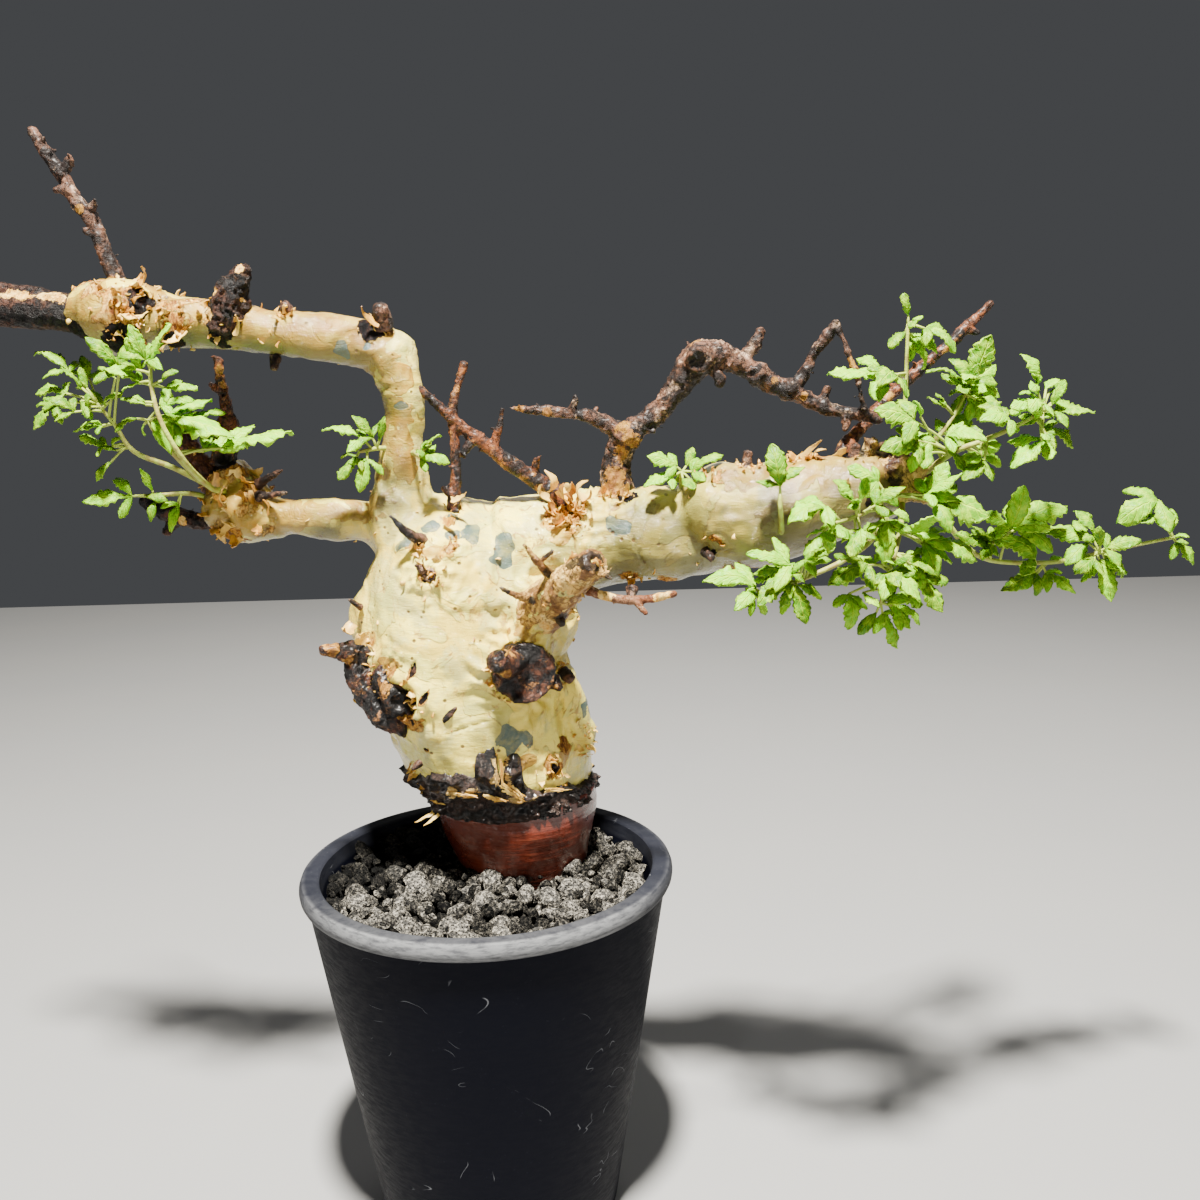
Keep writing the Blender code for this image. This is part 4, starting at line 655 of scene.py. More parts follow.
TWIG_ORANGE = (0.44, 0.19, 0.045)
TWIG_BROWN = (0.125, 0.056, 0.031)
TWIG_PINK = (0.46, 0.30, 0.19)
GOLDEN_DARK = (0.31, 0.16, 0.02)
RUST_DARK = (0.20, 0.08, 0.016)
GOLDEN_PALE = (0.80, 0.58, 0.19)
GOLDEN_SHADE = (0.17, 0.072, 0.018)
GOLDEN_BARK = (0.60, 0.36, 0.085)
WOOD_BROWN = (0.11, 0.05, 0.02)
SCAR_BROWN = (0.085, 0.026, 0.010)
RUST_WOOD = (0.13, 0.038, 0.012)
RUST_PALE = (0.46, 0.20, 0.06)
DRY_BROWN = (0.20, 0.10, 0.05)
DRY_PALE = (0.45, 0.29, 0.17)
BARK_BROWN = (0.050, 0.026, 0.018)
BARK_GREY = (0.17, 0.13, 0.11)
LEAF_DEEP = (0.030, 0.12, 0.001)
LEAF_LIGHT = (0.175, 0.475, 0.001)
LEAF_YELLOW = (0.42, 0.64, 0.001)
LEAF_VEIN = (0.50, 0.74, 0.02)
STEM_GREEN = (0.34, 0.42, 0.06)
STEM_BROWN = (0.22, 0.12, 0.05)
POT_BLACK = (0.0022, 0.0026, 0.0056)
# The pale grey of the highlight painted on the rim's lip
POT_RIM_HIGHLIGHT = (0.15, 0.152, 0.158)
POT_SCRATCH = (0.14, 0.145, 0.16)
POT_DUST = (0.011, 0.012, 0.018)
LAVA_BLACK = (0.002, 0.002, 0.002)
LAVA_GREY = (0.046, 0.044, 0.041)
LAVA_TAN = (0.42, 0.38, 0.31)
CROWN_RED = (0.165, 0.027, 0.011)
CROWN_DEEP = (0.105, 0.018, 0.009)
CROWN_BRIGHT = (0.28, 0.075, 0.030)
CROWN_DARK = (0.022, 0.008, 0.006)
FLOOR_PALE = (0.27, 0.27, 0.27)
FLOOR_WARM = (0.295, 0.29, 0.285)

# Looks of bark and wood:
# (name, scale, dark, middle and light tone, relief, coat, the two tones where it is torn)
BARKS = {
    "brown_twig": (
        "brown twig bark", 260.0, TWIG_DARK, TWIG_BROWN, TWIG_PINK, 0.5, 0.1, (RUST_DARK, GOLDEN_DARK),
    ),
    "red_twig": (
        "red twig bark", 240.0, TWIG_DARK, TWIG_RED, TWIG_ORANGE, 0.5, 0.15, (RUST_DARK, GOLDEN_DARK),
    ),
    "dark_wood": ("charred wood", 240.0, CHAR_BLACK, CHAR_BROWN, WOOD_BROWN, 0.8),
    "rust_wood": ("rusty torn wood", 260.0, CHAR_BROWN, RUST_WOOD, RUST_PALE, 0.6, 0.1),
    "scar": ("scar wood", 230.0, CHAR_BLACK, SCAR_BROWN, RUST_PALE, 0.8, 0.2, (RUST_DARK, RUST_LIGHT)),
    "crust": ("limb end crust", 170.0, CHAR_BROWN, GOLDEN_BARK, GOLDEN_PALE, 0.7, 0.1),
    "golden": ("golden branch bark", 200.0, GOLDEN_SHADE, GOLDEN_BARK, GOLDEN_PALE, 0.7, 0.2),
    "dry_wood": ("dry twig wood", 320.0, RUST_WOOD, DRY_BROWN, DRY_PALE, 0.3),
}

FLAKE_SHAPES = 9
FLAKE_SIZES = (0.9, 2.8)
FLAKE_LEAN = 0.7
CURL_WIDTH = 0.6
# Curls of bark placed one by one: (root, end, width, turn)
CURLS = (
    ((42, 0, 300), (30, -6, 304), 9, 2.6), ((38, 0, 302), (46, -8, 300), 8, 2.2),
    ((36, -3, 299), (28, -12, 296), 9, 2.4), ((44, 2, 298), (50, -6, 292), 7, 2.0),
    ((33, 0, 303), (40, -10, 306), 8, 2.8), ((28, -2, 300), (18, -8, 303), 7, 1.8),
    ((38, 4, 300), (44, 4, 309), 8, 1.6), ((-45, -6, 246), (-56, -16, 254), 9, 1.7),
    ((-50, -4, 250), (-56, -10, 242), 8, 2.2), ((-27, -20, 232), (-20, -28, 228), 7, 1.6),
    ((12, -34, 243), (19, -37, 250), 1.8, 0.3), ((12, -33, 246), (16, -36, 250), 1.8, 0.8),
    ((-16, -18, 276), (-22, -24, 279), 6, 1.4), ((-14, -18, 270), (-6, -23, 268), 6, 1.4),
    ((-8, -10, 292), (2, -13, 291), 7, 1.6), ((-5, -6, 300), (4, -8, 301), 5, 1.2),
    ((48, -38, 277), (56, -46, 284), 6, 1.5), ((42, -32, 274), (36, -42, 279), 6, 1.8),
    ((95, -10, 305), (84, -14, 309), 8, 1.6), ((124, -6, 310), (140, -12, 322), 8, 0.5),
    ((120, -6, 310), (114, -12, 318), 7, 1.6), ((132, -8, 312), (126, -14, 322), 6, 1.8),
    ((140, -10, 312), (148, -14, 320), 6, 1.2), ((-100, 12, 300), (-108, 4, 306), 8, 1.7),
    ((-92, 12, 302), (-84, 4, 306), 8, 1.6), ((-96, 12, 292), (-104, 6, 284), 8, 1.8),
    ((-88, 14, 288), (-80, 8, 281), 7, 1.5), ((-104, 16, 296), (-114, 12, 288), 7, 1.4),
    ((-84, 16, 296), (-76, 10, 300), 6, 1.5), ((-98, 14, 284), (-94, 8, 275), 7, 1.4),
    ((-120, -8, 372), (-128, -14, 362), 8, 1.7), ((-112, -6, 374), (-104, -10, 366), 7, 1.6),
    ((-126, -8, 378), (-132, -12, 388), 7, 1.7), ((-106, -6, 364), (-112, -10, 354), 7, 1.5),
    ((-118, -6, 384), (-108, -8, 388), 7, 1.6), ((-70, -2, 368), (-62, -7, 374), 6, 1.8),
    ((-74, -2, 362), (-80, -7, 356), 6, 1.6), ((-66, -2, 372), (-72, -8, 377), 6, 1.6),
    ((-34, -2, 368), (-44, -5, 372), 6, 1.4), ((-84, -8, 366), (-76, -12, 372), 6, 1.2),
    ((60, 4, 300), (68, 0, 306), 6, 1.4), ((52, 4, 300), (46, -1, 308), 6, 1.4),
    ((-22, -9, 174), (-29, -13, 170), 3, 0.5), ((-19, -12, 174), (-25, -17, 170), 2.4, 0.6),
)

# Clusters of small curls: (the middle, radius, how many, their length)
PEELING = (
    ((36, -3, 299), 8, 26, 8), ((38, -6, 296), 10, 16, 5), ((-124, -4, 374), 13, 26, 6),
    ((-108, -2, 370), 10, 16, 5), ((-98, 16, 300), 13, 14, 8), ((-100, 14, 288), 8, 7, 7),
    ((-40, -12, 234), 9, 14, 5), ((-26, -18, 222), 8, 12, 5), ((-15, -16, 274), 5, 16, 4),
    ((-18, -13, 283), 4, 9, 4), ((-7, -12, 283), 4, 8, 4), ((94, -8, 304), 5, 6, 5),
    ((126, -6, 312), 11, 18, 6), ((106, -6, 309), 8, 8, 4), ((150, -14, 304), 9, 14, 5),
    ((34, -20, 264), 8, 16, 5), ((44, -32, 274), 7, 12, 5), ((57, 2, 298), 7, 14, 4),
    ((-90, -4, 372), 8, 14, 6), ((-34, 0, 366), 6, 8, 5), ((-68, 0, 368), 6, 10, 5),
    ((28, -12, 192), 9, 12, 5), ((-30, -6, 186), 8, 10, 5), ((17, -26, 236), 14, 22, 5),
    ((33, 0, 228), 5, 8, 4), ((42, 6, 196), 8, 8, 5), ((62, -2, 264), 5, 6, 4),
    ((104, -4, 270), 8, 8, 4), ((-12, 46, 250), 14, 16, 6), ((-90, 34, 296), 12, 12, 6),
    ((16, 58, 196), 20, 16, 6), ((60, 26, 286), 10, 8, 5), ((-8, 4, 292), 6, 8, 5),
)

# The photo's camera: (x, y, z) in metres, its tilt down and its roll in radians
CAMERA_SPOT = (0.049145, -0.459769, 0.341496)
CAMERA_TILT = 0.1795
CAMERA_ROLL = 0.0269
CAMERA_LENS = 35.385
CAMERA_SENSOR = 36
# Soft lights: (its middle, what it points at, its width in metres, watts, colour)
LIGHTS = (
    ((0.02, -0.46, 1.48), (0.03, 0.0, 0.27), 0.14, 154.0, (1.0, 0.97, 0.89)),
    ((-0.50, -1.10, 0.30), (0.0, 0.0, 0.25), 0.05, 3.2, (1.0, 0.99, 0.96)),
    ((0.95, -0.55, 0.55), (0.0, 0.0, 0.25), 1.3, 2.6, (1.0, 0.98, 0.94)),
    ((0.25, 1.05, 0.95), (0.0, 0.0, 0.3), 1.3, 3.2, (1.0, 0.98, 0.95)),
)
WORLD_PALE = (0.80, 0.83, 0.88)
WORLD_STRENGTH = 0.08
FLOOR_SIZE = 3.0

# Numbers, meshes and shapes

TILTED_AXES = np.array(Matrix.Rotation(0.7, 3, (0.5, 0.3, 0.8)))


def lattice(cells, seed):
    """A value from -1 to 1 for each row of three whole numbers, the same each run."""
    x, y, z = cells.astype(np.int64).T
    mixed = (x * 73856093) ^ (y * 19349663) ^ (z * 83492791) ^ (seed * 2654435761)
    mixed = (mixed ^ (mixed >> 13)) * 1274126177
    mixed ^= mixed >> 16
    return (mixed & 0xFFFF) / 32767.5 - 1


def clouds(points, size, seed=0):
    """Soft noise from -1 to 1 at each point, with bumps of about the given size."""
    spots = points @ TILTED_AXES / size
    cells = np.floor(spots)
    share = spots - cells
    share = share * share * (3 - 2 * share)
    total = np.zeros(len(points))
    for corner in np.ndindex(2, 2, 2):
        weight = np.prod(np.where(corner, share, 1 - share), axis=1)
        total += weight * lattice(cells + corner, seed)
    return total


def unit(rows):
    rows = np.asarray(rows, float)
    return rows / np.maximum(np.linalg.norm(rows, axis=-1, keepdims=True), 1e-9)


def apart(points, spot):
    """How far each point is from a spot."""
    return np.linalg.norm(points - np.array(spot), axis=1)


def ramp(values, start, reach):
    """0 up to start, and from there to 1 over the reach."""
    return np.clip((values - start) / reach, 0, 1)


def draws(draw, rows, columns, low=-1, high=1):
    """A grid of random numbers."""
    return np.array([[draw.uniform(low, high) for _ in range(columns)] for _ in range(rows)])


def near(points, table, soft=0.35, warp=1.5):
    """How much each point belongs to the (x, y, z, radius) spots, from 0 to 1."""
    shift = clouds(points, 4.0, 5) * warp
    best = np.zeros(len(points))
    for *spot, radius in table:
        far = apart(points, spot) + shift
        best = np.maximum(best, np.clip((radius - far) / (radius * soft), 0, 1))
    return best


class Form:
    """Points and faces that are gathered into one mesh, with named values for each point."""

    def __init__(self):
        self.points = []
        self.faces = []
        self.values = []
        self.count = 0

    def add(self, points, faces, **values):
        start = self.count
        self.points.append(np.asarray(points, float))
        self.faces += [tuple(start + i for i in face) for face in faces]
        self.values.append((len(points), values))
        self.count += len(points)

    def mesh(self, name):
        mesh = bpy.data.meshes.new(name)
        mesh.from_pydata((np.vstack(self.points) * MM).tolist(), [], self.faces)
        for key in sorted({key for _, values in self.values for key in values}):
            column = [np.broadcast_to(values.get(key, 0.0), count) for count, values in self.values]
            store(mesh, key, np.concatenate(column))
        return mesh

    def thing(self, name):
        return linked(name, self.mesh(name))


def adjusted(thing, **settings):
    """The thing, with its settings made as given."""
    for key, value in settings.items():
        setattr(thing, key, value)
    return thing


def linked(name, data):
    obj = bpy.data.objects.new(name, data)
    bpy.context.scene.collection.objects.link(obj)
    return obj


def store(mesh, key, values):
    """Keeps a value for each point of the mesh, which a material reads by its name."""
    values = np.asarray(values, np.float32)
    mesh.attributes.new(key, "FLOAT", "POINT").data.foreach_set("value", values)


def read(rows, key):
    """The named three numbers of each row of a mesh."""
    values = np.empty(len(rows) * 3, np.float32)
    rows.foreach_get(key, values)
    return values.reshape(-1, 3).astype(float)


def spots_of(mesh):
    return read(mesh.vertices, "co") / MM


def normals_of(mesh):
    return read(mesh.vertex_normals, "vector")


def move_to(mesh, points):
    mesh.vertices.foreach_set("co", (points * MM).astype(np.float32).ravel())
    mesh.update()


def applied(obj):
    """Turns obj into a plain mesh of what its modifiers make, and removes them."""
    graph = bpy.context.evaluated_depsgraph_get()
    mesh = bpy.data.meshes.new_from_object(obj.evaluated_get(graph), depsgraph=graph)
    obj.modifiers.clear()
    old = obj.data
    obj.data = mesh
    bpy.data.meshes.remove(old)
    mesh.name = obj.name
    return obj


def joined(name, objects):
    """One object of several finished meshes."""
    whole = objects[0]
    with bpy.context.temp_override(active_object=whole, selected_editable_objects=objects):
        bpy.ops.object.join()
    whole.name = name
    whole.data.name = name
    return whole


def fused(name, form, voxel, softness):
    """The form's overlapping bodies grown together into one skin of small even faces."""
    obj = form.thing(name)
    adjusted(obj.modifiers.new("Fuse", "REMESH"), mode="VOXEL", voxel_size=voxel * MM)
    adjusted(obj.modifiers.new("Soften", "SMOOTH"), factor=0.5, iterations=softness)
    return applied(obj)


def route(points, step):
    """Rows about step apart on a smooth curve through the given ones, radius included."""
    rows = np.array(points, float)
    ends = np.vstack([2 * rows[0] - rows[1], rows, 2 * rows[-1] - rows[-2]])
    found = []
    for before, start, end, after in zip(ends, ends[1:], ends[2:], ends[3:]):
        pieces = max(1, round(float(np.linalg.norm((end - start)[:3])) / step))
        t = (np.arange(pieces) / pieces)[:, None]
        bend = 2 * before - 5 * start + 4 * end - after
        twist = 3 * start - before - 3 * end + after
        found.append(start + 0.5 * ((end - before) * t + bend * t**2 + twist * t**3))
    return np.vstack([*found, rows[-1:]])


def ring_faces(count, sides, closed=False, flip=False):
    """The faces between rings of points, and from the last ring to the first if closed."""
    faces = []
    for i in range(count if closed else count - 1):
        for j in range(sides):
            k = (j + 1) % sides
            n = (i + 1) % count
            a, b, c, d = i * sides + j, i * sides + k, n * sides + k, n * sides + j
            faces.append((a, d, c, b) if flip else (a, b, c, d))
    return faces


def tube(form, rings, first, last, flip=False, **values):
    """A body of rings, closed by a fan round its first point and one round its last."""
    count = len(rings)
    sides = len(rings[0])
    tail = (count - 1) * sides
    faces = ring_faces(count, sides, flip=flip)
    for j in range(sides):
        k = (j + 1) % sides
        for tip, a, b in ((count * sides, k, j), (count * sides + 1, tail + j, tail + k)):
            faces.append((tip, b, a) if flip else (tip, a, b))
    form.add(np.vstack([*rings, first, last]), faces, **values)


def rod(form, points, sides, step, end=ROUND_END, **values):
    """A round rod through (x, y, z, radius) points. Its end stands out by a share of its radius."""
    rows = route(points, step)
    spine = rows[:, :3]
    ways = unit(np.gradient(spine, axis=0))
    side = unit(np.cross(ways[0], (0.31, 0.52, 0.79)))
    turns = np.linspace(0, math.tau, sides, endpoint=False)[:, None]
    rings = []
    for spot, way, radius in zip(spine, ways, np.maximum(rows[:, 3], 0.15)):
        side = unit(side - way * (side @ way))
        over = np.cross(way, side)
        rings.append(spot + radius * (np.cos(turns) * side + np.sin(turns) * over))
    first = spine[0] - ways[0] * rows[0, 3] * 0.5
    last = spine[-1] + ways[-1] * rows[-1, 3] * end
    tube(form, rings, first, last, **values)


def circle(radius, height, steps):
    turns = np.linspace(0, math.tau, steps, endpoint=False)
    return np.stack([radius * np.cos(turns), radius * np.sin(turns), np.full(steps, height)], 1)


def turned(form, profile, steps, **values):
    """A body turned round +Z from (radius, height) points that run round its section."""
    rings = [circle(r, z, steps) for r, z in profile]
    tube(form, rings, (0, 0, profile[0][1]), (0, 0, profile[-1][1]), True, **values)


def ball(form, point, radius, detail=3):
    shape = bmesh.new()
    bmesh.ops.create_icosphere(shape, subdivisions=detail, radius=radius)
    spots = np.array([vert.co for vert in shape.verts]) + np.array(point)
    faces = [[vert.index for vert in face.verts] for face in shape.faces]
    shape.free()
    form.add(spots, faces)


def sheet(form, grid, thickness, **values):
    """A thin closed sheet round a grid of points. The values are one for each grid point."""
    rows, columns, _ = grid.shape
    along = np.gradient(grid, axis=0)
    across = np.gradient(grid, axis=1)
    lift = unit(np.cross(along, across)) * thickness / 2
    points = np.vstack([(grid + lift).reshape(-1, 3), (grid - lift).reshape(-1, 3)])
    under = rows * columns
    spots = np.arange(under).reshape(rows, columns)
    corners = (spots[:-1, :-1], spots[1:, :-1], spots[1:, 1:], spots[:-1, 1:])
    faces = []
    for face in zip(*(corner.ravel().tolist() for corner in corners)):
        faces.append(face)
        faces.append(tuple(under + spot for spot in reversed(face)))
    rim = np.concatenate([spots[:, 0], spots[-1, 1:], spots[-2::-1, -1], spots[0, -2:0:-1]]).tolist()
    for start, stop in zip(rim, rim[1:] + rim[:1]):
        faces.append((start, under + start, under + stop, stop))
    spread = {key: np.broadcast_to(value, (rows, columns)).ravel() for key, value in values.items()}
    form.add(points, faces, **{key: np.tile(value, 2) for key, value in spread.items()})


# Scattered shapes, by one tree of Geometry Nodes with its own sizes for each use


class Nodes:
    """The nodes of a tree, added a line at a time."""

    def __init__(self, tree):
        self.tree = tree

    def add(self, kind, inputs=None, **settings):
        node = adjusted(self.tree.nodes.new(kind), **settings)
        for key, value in (inputs or {}).items():
            self.put(node.inputs[key], value)
        return node

    def put(self, socket, value):
        if isinstance(value, Value):
            value = value.socket
        if isinstance(value, bpy.types.NodeSocket):
            self.tree.links.new(value, socket)
        elif socket.type == "RGBA":
            socket.default_value = (*value, 1)
        else:
            socket.default_value = value


def scatter_tree():
    tree = bpy.data.node_groups.new("Scattered shapes", "GeometryNodeTree")
    sockets = {
        "Surface": "Geometry", "Shapes": "Collection", "Finish": "Material", "Where": "Float",
        "Most per square metre": "Float", "Least distance": "Float", "Least size": "Float",
        "Greatest size": "Float", "Lean": "Float", "Draw": "Int",
    }
    for name, kind in sockets.items():
        tree.interface.new_socket(name, in_out="INPUT", socket_type="NodeSocket" + kind)
    tree.interface.new_socket("Shapes out", in_out="OUTPUT", socket_type="NodeSocketGeometry")
    add = Nodes(tree).add
    given = add("NodeGroupInput").outputs
    spread = add("GeometryNodeDistributePointsOnFaces", {
        "Mesh": given["Surface"], "Distance Min": given["Least distance"],
        "Density Max": given["Most per square metre"], "Density Factor": given["Where"],
        "Seed": given["Draw"],
    }, distribute_method="POISSON")
    shapes = add("GeometryNodeCollectionInfo", {
        "Collection": given["Shapes"], "Separate Children": True, "Reset Children": True,
    })
    place = add("GeometryNodeInstanceOnPoints", {
        "Points": spread.outputs["Points"], "Rotation": spread.outputs["Rotation"],
        "Instance": shapes.outputs[0], "Pick Instance": True,
    })
    less = add("ShaderNodeMath", {0: given["Lean"], 1: -1}, operation="MULTIPLY").outputs[0]
    low = add("ShaderNodeCombineXYZ", {"X": less, "Y": less})
    high = add("ShaderNodeCombineXYZ", {"X": given["Lean"], "Y": given["Lean"], "Z": math.tau})
    lean = add("FunctionNodeRandomValue", {
        "Min": low.outputs[0], "Max": high.outputs[0], "Seed": given["Draw"],
    }, data_type="FLOAT_VECTOR")
    turn = add("GeometryNodeRotateInstances", {
        "Instances": place.outputs[0], "Rotation": lean.outputs["Value"],
    })
    size = add("FunctionNodeRandomValue", {
        2: given["Least size"], 3: given["Greatest size"], "Seed": given["Draw"],
    }, data_type="FLOAT")
    grow = add("GeometryNodeScaleInstances", {"Instances": turn.outputs[0], "Scale": size.outputs[1]})
    tone = add("FunctionNodeRandomValue", {"Seed": given["Draw"]}, data_type="FLOAT")
    keep = add("GeometryNodeStoreNamedAttribute", {
        "Geometry": grow.outputs[0], "Name": "tone", "Value": tone.outputs[1],
    }, data_type="FLOAT", domain="INSTANCE")
    real = add("GeometryNodeRealizeInstances", {0: keep.outputs[0]})
    finish = add("GeometryNodeSetMaterial", {
        "Geometry": real.outputs[0], "Material": given["Finish"],
    })
    add("NodeGroupOutput", {0: finish.outputs[0]})
    return tree


def scattered(name, surface, shapes, finish, most, distance, sizes, lean, draw, where=None):
    """A new object of shapes scattered on a mesh object, where its named value is high."""
    obj = linked(name, surface.data.copy())
    modifier = obj.modifiers.new("Scatter", "NODES")
    modifier.node_group = SCATTER
    values = {
        "Shapes": shapes, "Finish": finish, "Where": 1.0, "Most per square metre": most,
        "Least distance": distance * MM, "Least size": sizes[0], "Greatest size": sizes[1],
        "Lean": lean, "Draw": draw,
    }
    for item in SCATTER.interface.items_tree:
        if item.in_out == "INPUT" and item.name in values:
            modifier[item.identifier] = values[item.name]
            if item.name == "Where" and where:
                modifier[item.identifier + "_use_attribute"] = True
                modifier[item.identifier + "_attribute_name"] = where
    return applied(obj)


def shape_set(name, forms):
    """A collection of small shapes, which drop() removes once they are used."""
    shapes = bpy.data.collections.new(name)
    bpy.context.scene.collection.children.link(shapes)
    for i, form in enumerate(forms):
        shapes.objects.link(bpy.data.objects.new(f"{name}_{i}", form.mesh(name)))
    return shapes


def drop(shapes):
    for obj in list(shapes.objects):
        bpy.data.objects.remove(obj, do_unlink=True)
    bpy.data.collections.remove(shapes)


# Materials


class Value:
    """What a shader node gives. It takes + - * and abs(), which add a maths node each."""

    def __init__(self, shades, socket):
        self.shades = shades
        self.socket = socket

    def __add__(self, other):
        return self.shades.maths("ADD", self, other)

    def __sub__(self, other):
        return self.shades.maths("SUBTRACT", self, other)

    def __rsub__(self, other):
        return self.shades.maths("SUBTRACT", other, self)

    def __mul__(self, other):
        return self.shades.maths("MULTIPLY", self, other)

    def __abs__(self):
        return self.shades.maths("ABSOLUTE", self)

    __radd__ = __add__
    __rmul__ = __mul__


class Shades(Nodes):
    """A material's or a group's nodes, as functions that each add one and give its output."""

    def take(self, kind, inputs, output=0, **settings):
        return Value(self, self.add(kind, inputs, **settings).outputs[output])

    def place(self):
        return self.take("ShaderNodeTexCoord", {}, "Object")

    def axes(self, place):
        parts = self.add("ShaderNodeSeparateXYZ", {"Vector": place}).outputs
        return [Value(self, part) for part in parts]

    def value(self, name):
        return self.take("ShaderNodeAttribute", {}, "Fac", attribute_name=name)

    def noise(self, place, scale, detail=4.0, roughness=0.55, distortion=0.0):
        inputs = {
            "Vector": place, "Scale": scale, "Detail": detail, "Roughness": roughness,
            "Distortion": distortion,
        }
        return self.take("ShaderNodeTexNoise", inputs, "Fac")

    def cells(self, place, scale):
        return self.take("ShaderNodeTexVoronoi", {"Vector": place, "Scale": scale}, "Distance")

    def stretch(self, place, scale, turn=(0, 0, 0)):
        inputs = {"Vector": place, "Scale": scale, "Rotation": turn}
        return self.take("ShaderNodeMapping", inputs)

    def band(self, value, low, high, start=0.0, end=1.0):
        """The value taken from low..high to start..end, and held there outside."""
        inputs = {"Value": value, "From Min": low, "From Max": high, "To Min": start, "To Max": end}
        return self.take("ShaderNodeMapRange", inputs, interpolation_type="SMOOTHSTEP")

    def maths(self, operation, first, second=0.0):
        return self.take("ShaderNodeMath", {0: first, 1: second}, operation=operation)

    def most(self, first, second):
        return self.maths("MAXIMUM", first, second)

    def mix(self, share, first, second):
        inputs = {"Factor": share, 6: first, 7: second}
        return self.take("ShaderNodeMix", inputs, 2, data_type="RGBA")

    def laid(self, colour, *layers):
        """The colour with others laid over it one by one, each given as (share, colour)."""
        for share, over in layers:
            colour = self.mix(share, colour, over)
        return colour

    def ragged(self, name, noise, stray, low, high):
        """The mesh's named values as a mask, whose edge strays with a noise."""
        return self.band(self.value(name) + self.band(noise, 0.3, 0.7, -stray, stray), low, high)

    def bump(self, height, distance):
        return self.take("ShaderNodeBump", {"Height": height, "Distance": distance * MM})

    def group(self, tree, **inputs):
        node = self.add("ShaderNodeGroup", inputs, node_tree=tree)
        return {output.name: Value(self, output) for output in node.outputs}


def effect(name, inputs, outputs, build):
    """A shader node group with named inputs and outputs, which build fills in."""
    tree = bpy.data.node_groups.new(name, "ShaderNodeTree")
    tree.interface.new_socket("Place", in_out="INPUT", socket_type="NodeSocketVector")
    for key, value in inputs.items():
        kind = "NodeSocketColor" if isinstance(value, tuple) else "NodeSocketFloat"
        socket = tree.interface.new_socket(key, in_out="INPUT", socket_type=kind)
        socket.default_value = (*value, 1) if isinstance(value, tuple) else value
    for key in outputs:
        kind = "NodeSocketColor" if key == "Colour" else "NodeSocketFloat"
        tree.interface.new_socket(key, in_out="OUTPUT", socket_type=kind)
    shades = Shades(tree)
    given = shades.add("NodeGroupInput").outputs
    made = build(shades, **{key.lower(): Value(shades, given[key]) for key in ("Place", *inputs)})
    shades.add("NodeGroupOutput", dict(zip(outputs, made)))
    return tree


def rough_bark(s, place, scale, dark, middle, light):
    """Weathered bark: three tones in blotches, dark crooked cracks, its relief and its roughness."""
    patches = s.noise(place, 0.4 * scale, 4.0, 0.6, 0.6)
    second = s.noise(place, 0.62 * scale, 5.0, 0.7, 0.3)
    grain = s.noise(place, 1.7 * scale, 7.0, 0.75, 0.2)
    ridge = abs(s.noise(place, scale, 5.0, 0.6, 0.8) - 0.5)
    cracks = s.band(ridge, 0.0, 0.045, 1.0, 0.0)
    tone = s.laid(
        dark, (s.band(patches, 0.42, 0.6), middle), (s.band(second, 0.54, 0.7), light),
        (s.band(grain, 0.38, 0.5, 0.75, 0.0), dark), (0.7 * cracks, dark),
    )
    return tone, grain + second - 0.6 * cracks, s.band(grain, 0.3, 0.8, 0.4, 0.85)


def fibre_lines(s, place, scale, dark, light):
    """Fine torn fibres that run along one axis of the place, and their relief."""
    long = s.noise(place, scale, 5.0, 0.65, 0.5)
    return s.mix(s.band(long, 0.35, 0.65), dark, light), long


def material(name, build):
    """A node material whose Principled BSDF takes what build returns for its sockets."""
    made = bpy.data.materials.new(name)
    made.use_nodes = True
    shades = Shades(made.node_tree)
    shader = made.node_tree.nodes["Principled BSDF"]
    for key, value in build(shades).items():
        shades.put(shader.inputs[key], value)
    return made


